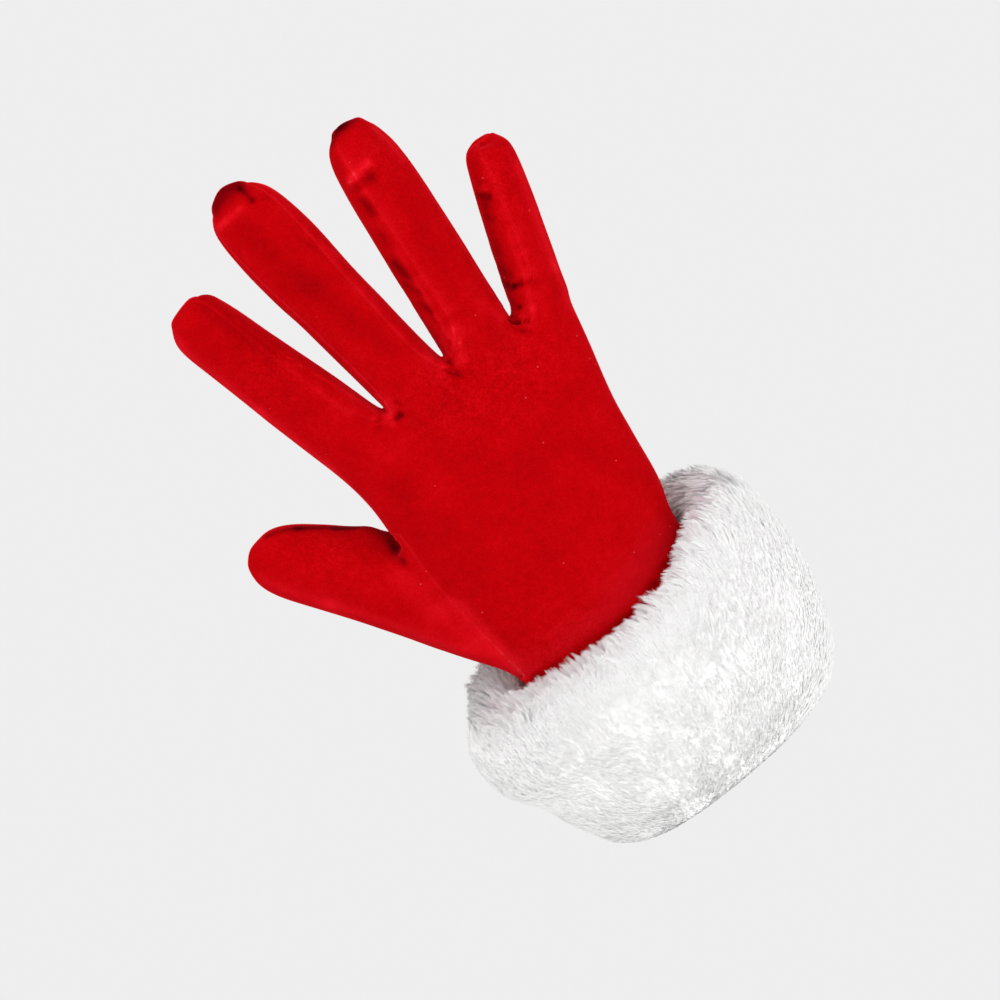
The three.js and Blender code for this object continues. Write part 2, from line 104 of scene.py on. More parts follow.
def make_piece(name, points, faces, material):
    """A smooth-shaded mesh object of these points, in metres, and faces of equal numbers of corners."""
    mesh = bpy.data.meshes.new(name)
    faces = np.asarray(faces, dtype=np.int32)
    mesh.vertices.add(len(points))
    mesh.vertices.foreach_set("co", np.asarray(points, dtype=np.float32).ravel())
    mesh.loops.add(faces.size)
    mesh.loops.foreach_set("vertex_index", faces.ravel())
    mesh.polygons.add(len(faces))
    mesh.polygons.foreach_set("loop_start", np.arange(0, faces.size, faces.shape[1], dtype=np.int32))
    mesh.update(calc_edges=True)
    mesh.polygons.foreach_set("use_smooth", np.ones(len(faces), dtype=bool))
    mesh.materials.append(material)
    piece = bpy.data.objects.new(name, mesh)
    bpy.context.collection.objects.link(piece)
    return piece


class Shade:
    """One socket of a material's nodes, which takes part in sums as a number would."""

    def __init__(self, tree, socket):
        self.tree = tree
        self.socket = socket

    def node(self, kind, settings=(), sockets=(), output=0):
        """Adds a node, makes its settings, and fills or links its sockets. Stops are a ramp's places."""
        made = self.tree.nodes.new(kind)
        for key, value in dict(settings).items():
            if key != "stops":
                setattr(made, key, value)
                continue
            ends = made.color_ramp.elements
            for (place, colour), end in zip((value[0], value[-1]), (ends[0], ends[1])):
                end.position = place
                end.color = colour
            for place, colour in value[1:-1]:
                ends.new(place).color = colour
        for key, value in dict(sockets).items():
            if isinstance(value, Shade):
                self.tree.links.new(value.socket, made.inputs[key])
            else:
                made.inputs[key].default_value = value
        return Shade(self.tree, made.outputs[output])

    def maths(self, operation, *values):
        """A Math node's result of this operation on these values."""
        return self.node("ShaderNodeMath", {"operation": operation}, dict(enumerate(values)))

    def __add__(self, other):
        return self.maths("ADD", self, other)

    def __sub__(self, other):
        return self.maths("SUBTRACT", self, other)

    def __mul__(self, other):
        return self.maths("MULTIPLY", self, other)

    def __radd__(self, other):
        return self.maths("ADD", other, self)

    def __rsub__(self, other):
        return self.maths("SUBTRACT", other, self)

    def __rmul__(self, other):
        return self.maths("MULTIPLY", other, self)

    def __gt__(self, other):
        return self.maths("GREATER_THAN", self, other)

    def __lt__(self, other):
        return self.maths("LESS_THAN", self, other)

    def noise(self, size, detail=2.0, roughness=0.5):
        """Uneven values about 0.5, whose lumps are this many millimetres wide, on this vector."""
        values = {"Vector": self, "Scale": 1000 / size, "Detail": detail, "Roughness": roughness}
        return self.node("ShaderNodeTexNoise", {}, values)

    def mixed(self, first, second):
        """The first colour where this value is 0 and the second where it is 1."""
        values = {"Factor": self, 6: first, 7: second}
        return self.node("ShaderNodeMix", {"data_type": "RGBA"}, values, output=2)

    def kept(self, name):
        """The values that a piece keeps for its points under this name."""
        return self.node("ShaderNodeAttribute", {"attribute_name": name}, output=2)

    def into(self, name):
        """Feeds the Principled shader's socket of this name."""
        self.tree.links.new(self.socket, self.tree.nodes["Principled BSDF"].inputs[name])


def new_material(name, **constants):
    """A material with these constants on its Principled shader, and the Object coordinates to build on."""
    material = bpy.data.materials.new(name)
    material.use_nodes = True
    shader = material.node_tree.nodes["Principled BSDF"]
    for socket, value in constants.items():
        shader.inputs[socket.replace("_", " ")].default_value = value
    places = material.node_tree.nodes.new("ShaderNodeTexCoord")
    return material, Shade(material.node_tree, places.outputs["Object"])


tent_paint, _ = new_material(
    "tent_cloth", Base_Color=tent_cloth, Roughness=1.0, Specular_IOR_Level=0.0,
    Emission_Color=(1, 1, 1, 1), Emission_Strength=tent_glow)
bend = np.linspace(0, np.pi / 2, sweep_steps)
straight = tent_radius - tent_sweep
profile_out = np.concatenate([
    [0, tent_middle], straight + tent_sweep * np.sin(bend),
    straight + tent_sweep * np.cos(bend), [tent_middle, 0]])
profile_up = tent_floor + np.concatenate([
    [0, 0], tent_sweep * (1 - np.cos(bend)), tent_height - tent_sweep * (1 - np.sin(bend)),
    [tent_height, tent_height]])
tent_ids = np.arange(tent_sides * len(profile_out)).reshape(tent_sides, -1)
tent = make_piece(
    "light_tent", revolved(profile_out, profile_up, tent_sides).reshape(-1, 3),
    grid_faces(np.vstack([tent_ids, tent_ids[:1]]))[:, ::-1], tent_paint)

for name, (place, side, power) in lamps.items():
    lamp = bpy.data.objects.new(name, bpy.data.lights.new(name, "AREA"))
    lamp.data.size = side
    lamp.data.energy = power
    lamp.location = place
    lamp.rotation_mode = "QUATERNION"
    lamp.rotation_quaternion = Vector(np.array(place) - view_centre).to_track_quat("Z", "Y")
    lamp.visible_camera = False
    bpy.context.collection.objects.link(lamp)
dark_outside = bpy.data.worlds.new("dark_outside")
dark_outside.use_nodes = True
dark_outside.node_tree.nodes["Background"].inputs["Strength"].default_value = 0.0
bpy.context.scene.world = dark_outside

# The velvet shell.
# Stretch velvet with a short pile, cut as a back, a palm, a thumb and three forked strips, one to line
# each pair of facing fingers. Sewn together they make one smooth shell, worked out here as a net of
# four-sided faces. Sizes are in millimetres up to the finished meshes.
over_back, round_side = 5, 4
around = 2 * (over_back + round_side)
over_hand = over_back * 4
round_hand = 2 * (over_hand + round_side)
far_side = 2 * round_side + over_hand
half_side = round_side // 2

fingers = [
    # root, tip, roll in degrees, sections: share of the length, half sizes, half angle of the side strip
    ((-24.5, 0.5, 154), (-40, 4, 218.6), -20, [
        (0, 12.6, 10.4, 48), (0.15, 12.3, 9.8, 47), (0.32, 11.8, 9.4, 46), (0.5, 11.3, 9.1, 44),
        (0.67, 10.8, 8.8, 40), (0.84, 10.4, 8.4, 33), (0.93, 9.2, 7.1, 25), (0.98, 6.4, 4.8, 18)]),
    ((0, -1.5, 154), (-6.9, 3, 236.6), -8, [
        (0, 12, 10.8, 47), (0.13, 11.7, 10.2, 45), (0.3, 11.8, 9.7, 43), (0.5, 12.1, 9.5, 41),
        (0.68, 12.9, 9.4, 38), (0.86, 12.1, 8.8, 31), (0.94, 10.2, 7.4, 24), (0.985, 7.2, 5, 18)]),
    ((23.6, -0.5, 154), (34.2, 4, 229.6), 28, [
        (0, 12.4, 10.4, 48), (0.13, 12.3, 9.8, 48), (0.3, 12.2, 9.4, 47), (0.5, 12.3, 9.2, 45),
        (0.68, 11.9, 8.9, 41), (0.85, 11.2, 8.4, 34), (0.94, 9.6, 7, 25), (0.985, 6.4, 4.6, 18)]),
    ((46.4, 2.5, 152), (65, 8, 200.8), 38, [
        (0, 10.8, 9.6, 49), (0.15, 9.7, 8.9, 49), (0.32, 9.1, 8.3, 48), (0.5, 8.8, 7.9, 46),
        (0.67, 8.6, 7.6, 42), (0.84, 8.2, 7, 34), (0.93, 7.2, 5.8, 25), (0.98, 4.8, 3.8, 18)]),
]
finger_squareness = 2.2
web_curve = 1.6
webs = [
    # x and y of the middle, height of the notch, how far it drops to the front and back, half depth
    (-12.2, -0.5, 159.5, 6, 7), (11.9, -1, 159.5, 6, 7), (35.4, 1, 156.5, 6, 6.5)]
hand_rows = np.array([
    # height, left, right, half depth, middle in y, share kept of the arches of the fingers
    (144, -34, 50.3, 13, 0, 0.6), (134, -34, 48.8, 14, 0.5, 0.28),
    (124.5, -36, 46.8, 15, 1, 0.1), (111, -37.5, 44, 16, 1.5, 0),
    (97, -37, 41.8, 17.2, 1.8, 0), (82, -36, 39.6, 18.6, 1.8, 0),
    (66, -34.4, 37.2, 20, 1.2, 0), (50, -32.8, 34.8, 21, 0.6, 0),
    (34, -31.4, 32.6, 21.4, 0.2, 0), (18, -31, 31.4, 21.6, 0, 0), (2, -31.4, 31.4, 22, 0, 0)])
hand_squareness = 2.6
flat_share = 0.93
thumb_top, thumb_bottom, thumb_back_column, thumb_palm_column = 3, 7, 4, 42
thumb_rows = [
    # middle x, y and z, half sizes, share of the way from the opening's edge to this section
    (-44.6, 10, 104.6, 16.6, 14.5, 0.35), (-46.6, 11.5, 110.4, 15.6, 13.4, 0.7),
    (-48.3, 12.5, 114.7, 14.8, 12.4, 1), (-55.2, 14.5, 123.7, 14, 11.4, 1),
    (-61.9, 16.5, 131.6, 12.8, 10.4, 1), (-67.3, 18, 137.6, 11.4, 9, 1),
    (-71.2, 19, 141.8, 9, 6.8, 1), (-73.8, 19.6, 143.8, 5.4, 4.2, 1)]
thumb_way = np.array([-0.66, 0.16, 0.73]) / np.linalg.norm([-0.66, 0.16, 0.73])
tip_dome = 0.35
BACK, PALM, THUMB, STRIP = 0, 1, 2, 3

net_points = []
net_faces = []
net_panels = []


def keep_points(places):
    """Adds points to the net and returns their numbers, in the same table shape."""
    first = sum(len(block) for block in net_points)
    places = np.asarray(places, dtype=float)
    net_points.append(places.reshape(-1, 3))
    return first + np.arange(places.size // 3).reshape(places.shape[:-1])


def keep_faces(corners, panel):
    """Adds faces to the net, each with the number of its panel."""
    net_faces.append(np.asarray(corners).reshape(-1, 4))
    net_panels.append(np.broadcast_to(panel, len(net_faces[-1])))


def signed_power(value, exponent):
    """The value's size to this power, with the value's sign."""
    return np.sign(value) * np.abs(value) ** exponent


def finger_ring(root, tip, roll, along, wide, deep, strip):
    """One section of a finger: an ellipse of these half sizes, made squarer, across the finger's line.
    Its points go from the palm edge of the right strip over the back and the left side to the palm."""
    root, tip = np.array(root, float), np.array(tip, float)
    way = (tip - root) / np.linalg.norm(tip - root)
    flat_way = np.array([way[2], 0, -way[0]]) / math.hypot(way[2], way[0])
    up = np.cross(flat_way, way)
    turn = math.radians(roll)
    side = flat_way * math.cos(turn) - up * math.sin(turn)
    back = up * math.cos(turn) + flat_way * math.sin(turn)
    flat = 180 - 2 * strip
    angle = np.radians(np.concatenate([
        np.linspace(-strip, strip, round_side, endpoint=False),
        strip + np.linspace(0, flat, over_back, endpoint=False),
        np.linspace(180 - strip, 180 + strip, round_side, endpoint=False),
        180 + strip + np.linspace(0, flat, over_back, endpoint=False)]))[:, None]
    return (root + (tip - root) * along
            + side * wide * signed_power(np.cos(angle), 2 / finger_squareness)
            + back * deep * signed_power(np.sin(angle), 2 / finger_squareness))


def hand_ring(height, left, right, deep, middle_y, _):
    """One level section of the hand: a squarish oval between left and right. Its columns go up the left
    side, evenly across the back, down the right side and back across the palm."""
    corner = math.acos(flat_share ** (hand_squareness / 2))
    side = np.linspace(corner, -corner, round_side, endpoint=False)
    flat = flat_share * np.linspace(-1, 1, over_hand, endpoint=False)
    edge = (1 - np.abs(flat) ** hand_squareness) ** (1 / hand_squareness)
    bow = np.cos(side) ** (2 / hand_squareness)
    lift = signed_power(np.sin(side), 2 / hand_squareness)
    out = np.concatenate([-bow, flat, bow, -flat])
    rise = np.concatenate([-lift, edge, lift, -edge])
    x = (left + right) / 2 + (right - left) / 2 * out
    return np.stack([x, middle_y - deep * rise, np.full(round_hand, float(height))], axis=1)


def dome_faces(ring, start, across, down, way, bulge):
    """Faces that close a ring: a patch blended from its four sides, raised along way by bulge times the
    root of a product of two parabolas."""
    places = np.concatenate(net_points)
    p, q = np.arange(across + 1), np.arange(down + 1)
    top, low, left, right = (
        ring[(start + i) % len(ring)] for i in (p, -down - p, -q, across + q))
    u, v = (p / across)[:, None, None], (q / down)[None, :, None]
    blend = ((1 - v) * places[top][:, None] + v * places[low][:, None]
             + (1 - u) * places[left][None] + u * places[right][None]
             - (1 - u) * (1 - v) * places[top[0]] - u * (1 - v) * places[top[-1]]
             - (1 - u) * v * places[low[0]] - u * v * places[low[-1]])
    blend = blend + np.asarray(way) * bulge * np.sqrt(16 * u * (1 - u) * v * (1 - v))
    ids = np.empty((across + 1, down + 1), int)
    ids[1:-1, 1:-1] = keep_points(blend[1:-1, 1:-1])
    ids[:, 0], ids[:, -1], ids[0], ids[-1] = top, low, left, right
    return np.stack([ids[:-1, :-1], ids[:-1, 1:], ids[1:, 1:], ids[1:, :-1]], axis=2)


def tube_faces(rings):
    """Faces between each ring of point numbers and the next."""
    after = np.roll(rings, -1, axis=1)
    return np.stack([rings[:-1], rings[1:], after[1:], after[:-1]], axis=2)


# The webs, and the row of points that the fingers stand on.
off = np.linspace(1, -1, round_side + 1)
web_ids = keep_points([
    np.stack([np.full(round_side + 1, x), y + off * deep, notch - drop * np.abs(off) ** web_curve], axis=1)
    for x, y, notch, drop, deep in webs])
i = np.arange(around)
root_row = np.zeros((round_hand, 3))
root_columns = []
on_web = []
for k, (root, tip, roll, sections) in enumerate(fingers):
    root_columns.append(np.select(
        [i <= round_side, i < round_side + over_back, i <= 2 * round_side + over_back],
        [far_side - i, 2 * round_side + over_back * (k + 1) - i, 2 * round_side + over_back - i],
        far_side + over_back * (3 - k) + around - i) % round_hand)
    on_web.append(((i <= round_side) & (k < 3))
                  | ((i >= round_side + over_back) & (i <= 2 * round_side + over_back) & (k > 0)))
    free = ~on_web[k]
    root_row[root_columns[k][free]] = finger_ring(root, tip, roll, *sections[0])[free]
web_back = round_side + over_back * np.arange(1, 4)
web_palm = far_side + over_back * (3 - np.arange(3))
root_row[web_back] = net_points[0][web_ids[:, -1]]
root_row[web_palm] = net_points[0][web_ids[:, 0]]
root_ids = keep_points(root_row)
root_ids[web_back] = web_ids[:, -1]
root_ids[web_palm] = web_ids[:, 0]

# The hand, from the webs to the hem, with the thumb's opening.
hand_ids = [root_ids]
for row in hand_rows:
    ring = hand_ring(*row)
    below = np.column_stack([root_row[:, :2], ring[:, 2]])
    hand_ids.append(keep_points(ring + (below - ring) * row[5]))
hand_ids = np.array(hand_ids)
column = np.arange(round_hand)
on_back = (column >= half_side) & (column < round_side + over_hand + half_side)
row_number = np.arange(len(hand_rows))[:, None]
for_thumb = ((row_number >= thumb_top) & (row_number < thumb_bottom)
             & ((column >= thumb_palm_column) | (column < thumb_back_column)))
side_of = np.broadcast_to(np.where(on_back, BACK, PALM), for_thumb.shape)
keep_faces(tube_faces(hand_ids)[~for_thumb], side_of[~for_thumb])

# The fingers.
for k, (root, tip, roll, sections) in enumerate(fingers):
    foot = root_ids[root_columns[k]]
    if k < 3:
        foot[:round_side + 1] = web_ids[k]
    if k > 0:
        foot[round_side + over_back:2 * round_side + over_back + 1] = web_ids[k - 1][::-1]
    rings = np.array([foot] + [keep_points(finger_ring(root, tip, roll, *row)) for row in sections[1:]])
    right_strip = np.full(round_side, STRIP + k) if k < 3 else np.repeat([PALM, BACK], half_side)
    left_strip = np.full(round_side, STRIP + k - 1) if k > 0 else np.repeat([BACK, PALM], half_side)
    round_panels = np.concatenate([
        right_strip, np.full(over_back, BACK), left_strip, np.full(over_back, PALM)])
    keep_faces(tube_faces(rings), np.tile(round_panels, len(rings) - 1))
    way = np.subtract(tip, root) / np.linalg.norm(np.subtract(tip, root))
    cap = dome_faces(rings[-1], round_side, over_back, round_side, way, tip_dome * sections[-1][1])
    keep_faces(cap, np.tile(np.repeat([BACK, PALM], half_side), over_back))

# The thumb, which grows out of the edge of its opening.
tall = thumb_bottom - thumb_top
broad = round_hand - thumb_palm_column + thumb_back_column
edge_ids = np.concatenate([
    hand_ids[thumb_top:thumb_bottom, thumb_back_column],
    hand_ids[thumb_bottom, (thumb_back_column - np.arange(broad)) % round_hand],
    hand_ids[thumb_bottom:thumb_top:-1, thumb_palm_column],
    hand_ids[thumb_top, (thumb_palm_column + np.arange(broad)) % round_hand]])
side = np.array([thumb_way[2], 0, -thumb_way[0]]) / math.hypot(thumb_way[2], thumb_way[0])
back = np.cross(side, thumb_way)
step = 360 / len(edge_ids)
angle = np.radians(90 - tall / 2 * step + step * np.arange(len(edge_ids)))[:, None]
edge_places = np.concatenate(net_points)[edge_ids]
rings = [edge_ids]
for x, y, z, wide, deep, join in thumb_rows:
    ring = np.array([x, y, z]) + side * wide * np.cos(angle) + back * deep * np.sin(angle)
    rings.append(keep_points(edge_places + (ring - edge_places) * join))
keep_faces(tube_faces(np.array(rings)), THUMB)
keep_faces(dome_faces(rings[-1], 0, tall, broad, thumb_way, tip_dome * thumb_rows[-1][3]), THUMB)


def sums(places, values, size):
    """For each point number up to size, the sum of the rows of values that are given for it."""
    return np.stack([np.bincount(places, column, size) for column in values.T], axis=1)


def rounded(points, faces):
    """One round of Catmull and Clark's refinement: each face gets a point at its middle, each edge one at
    the mean of its ends and of the two middles beside it, and each old point moves towards the mean of
    what lies round it. Open edges keep to their own line. Face i becomes the faces 4i to 4i + 3."""
    count = len(points)
    ends = np.stack([faces, np.roll(faces, -1, axis=1)], axis=2).reshape(-1, 2)
    key, number, uses = np.unique(
        ends.min(axis=1) * count + ends.max(axis=1), return_inverse=True, return_counts=True)
    edges = np.stack([key // count, key % count], axis=1)
    number = number.reshape(-1, 4)
    middle = points[faces].mean(axis=1)
    halfway = points[edges].mean(axis=1)
    beside = sums(number.ravel(), np.repeat(middle, 4, axis=0), len(edges))
    inner = (uses == 2)[:, None]
    on_edge = np.where(inner, (2 * halfway + beside) / 4, halfway)
    spokes = np.bincount(edges.ravel(), minlength=count)[:, None]
    touching = np.maximum(np.bincount(faces.ravel(), minlength=count), 1)[:, None]
    near = sums(faces.ravel(), np.repeat(middle, 4, axis=0), count) / touching
    along = sums(edges.ravel(), np.repeat(halfway, 2, axis=0), count) / spokes
    moved = (near + 2 * along + (spokes - 3) * points) / spokes
    rim = edges[uses == 1]
    rim_sum = sums(rim.ravel(), np.repeat(points[rim].mean(axis=1), 2, axis=0), count)
    on_rim = np.isin(np.arange(count), rim)[:, None]
    moved = np.where(on_rim, points / 2 + rim_sum / 4, moved)
    after = count + number
    before = np.roll(after, 1, axis=1)
    centre = np.repeat(count + len(edges) + np.arange(len(faces))[:, None], 4, axis=1)
    finer = np.stack([faces, after, centre, before], axis=2).reshape(-1, 4)
    return np.concatenate([moved, on_edge, middle]), finer


def outward(points, faces):
    """The mean direction of the faces round each point, weighted by their size."""
    a, b, c, d = (points[faces[:, k]] for k in range(4))
    normal = np.repeat(np.cross(c - a, d - b), 4, axis=0)
    total = sums(faces.ravel(), normal, len(points))
    return total / np.maximum(np.linalg.norm(total, axis=1, keepdims=True), 1e-12)


def bell(points, middle, reach):
    """A share of 1 at the middle, which falls off all round: e to the power of minus the square of the
    distance over the square of the reach."""
    return np.exp(-((points - middle) ** 2).sum(axis=-1) / reach ** 2)


# refining draws the net in, so its points first move out by this many times what one round would take
make_up = 1.25
used, shell_faces = np.unique(np.concatenate(net_faces), return_inverse=True)
shell_faces = shell_faces.reshape(-1, 4)
shell = np.concatenate(net_points)[used]
panel_of = np.concatenate(net_panels)
shell = shell + make_up * (shell - rounded(shell, shell_faces)[0][:len(shell)])
for _ in range(3):
    shell, shell_faces = rounded(shell, shell_faces)
    panel_of = np.repeat(panel_of, 4)
deeper_notches = [
    # x, y and z of the notch between two fingers, reach, how much lower the stretched cloth lies there
    (-12.2, -0.5, 159.5, 7, 2.2), (11.9, -1, 159.5, 7, 1.8), (35.4, 1, 156.5, 7, 3.2)]
for *middle, reach, drop in deeper_notches:
    shell[:, 2] -= drop * bell(shell, middle, reach)
out_of_shell = outward(shell, shell_faces)

# The seams, dents and folds.
# The panels are sewn together inside out and turned, so each seam is a fine line between two soft ridges.
# The cloth puckers beside it, most on the little-finger side of the gaps, where the strips are tightest.
# The colour is painted darker in creases and hollows and paler on ridges, seams and edges: painted shade
# and painted highlights.
seam_sink, seam_width = 0.10, 0.55
seam_ridge, ridge_place, ridge_width = 0.12, 1.5, 0.8
pucker_reach = 3.0
# painted light on raised puckers and painted shade in sunk ones, a painted highlight on the ridges, and a
# painted light line on the seam
pucker_painted_light, ridge_painted_light, seam_painted_light = 0.6, 0.02, 0.13
# how strongly the strokes' painted shade and painted highlights count
painted_shading_contrast = 1.5
least_ruffled, least_gathered = 0.25, 0.02
# height or share, size, seed of the random lumps of the cloth and of the puckers beside a seam
cloth_lumps = [(0.22, 22, 1), (0.08, 8, 2)]
puckers = [(1, 2.6, 3), (0.6, 1.5, 4)]
gathers = [
    # x and z of the middle, reach, height of the gathers, in the plane of the back
    (18, 168, 18, 0.14), (42, 160, 16, 0.14), (-12, 153, 8, 0.2), (12, 153, 8, 0.2),
    (37, 151, 9, 0.22), (-12, 163, 11, 0.14), (-33, 90, 30, 0.06), (4, 207, 12, 0.1),
    (-26, 190, 26, 0.04),
]
dents = [
    # x, y and z of the middle, reach, depth
    (-7, 1, 237.5, 4.5, -1.8), (33.5, 1, 230.8, 3.5, -0.6), (-31.5, 1.5, 217.8, 4, -0.9),
    (64.5, 4, 201, 4.5, 2.4), (61.5, 4, 200.5, 3, 0.7), (38.5, 0, 72, 9, 2.6),
    (27.5, 1.5, 226.5, 3, -0.2), (-14.8, 0, 232.5, 3, -0.3), (42.5, 1, 217, 7, 0.6),
    (-40.5, 12.8, 128.4, 5, -1.4), (55.5, 2, 149.5, 9, 1), (44, 2.5, 223.5, 5, 1.5),
    (66.5, 5, 202.5, 5, 1.2), (41.5, 3, 229, 2.5, -0.6),
    (22.5, -6, 196, 5, 0.7), (18.5, -6, 178, 5, 0.7), (45.5, 0, 166, 5, 0.7),
    (-38.5, 2, 118, 7, 1.4), (-12, -9, 148, 6, 0.9), (13, -9, 148, 6, 0.9),
    (38, -7, 146, 6, 0.9), (25, -11, 140, 8, -0.5), (-22, -11, 142, 8, -0.5),
]
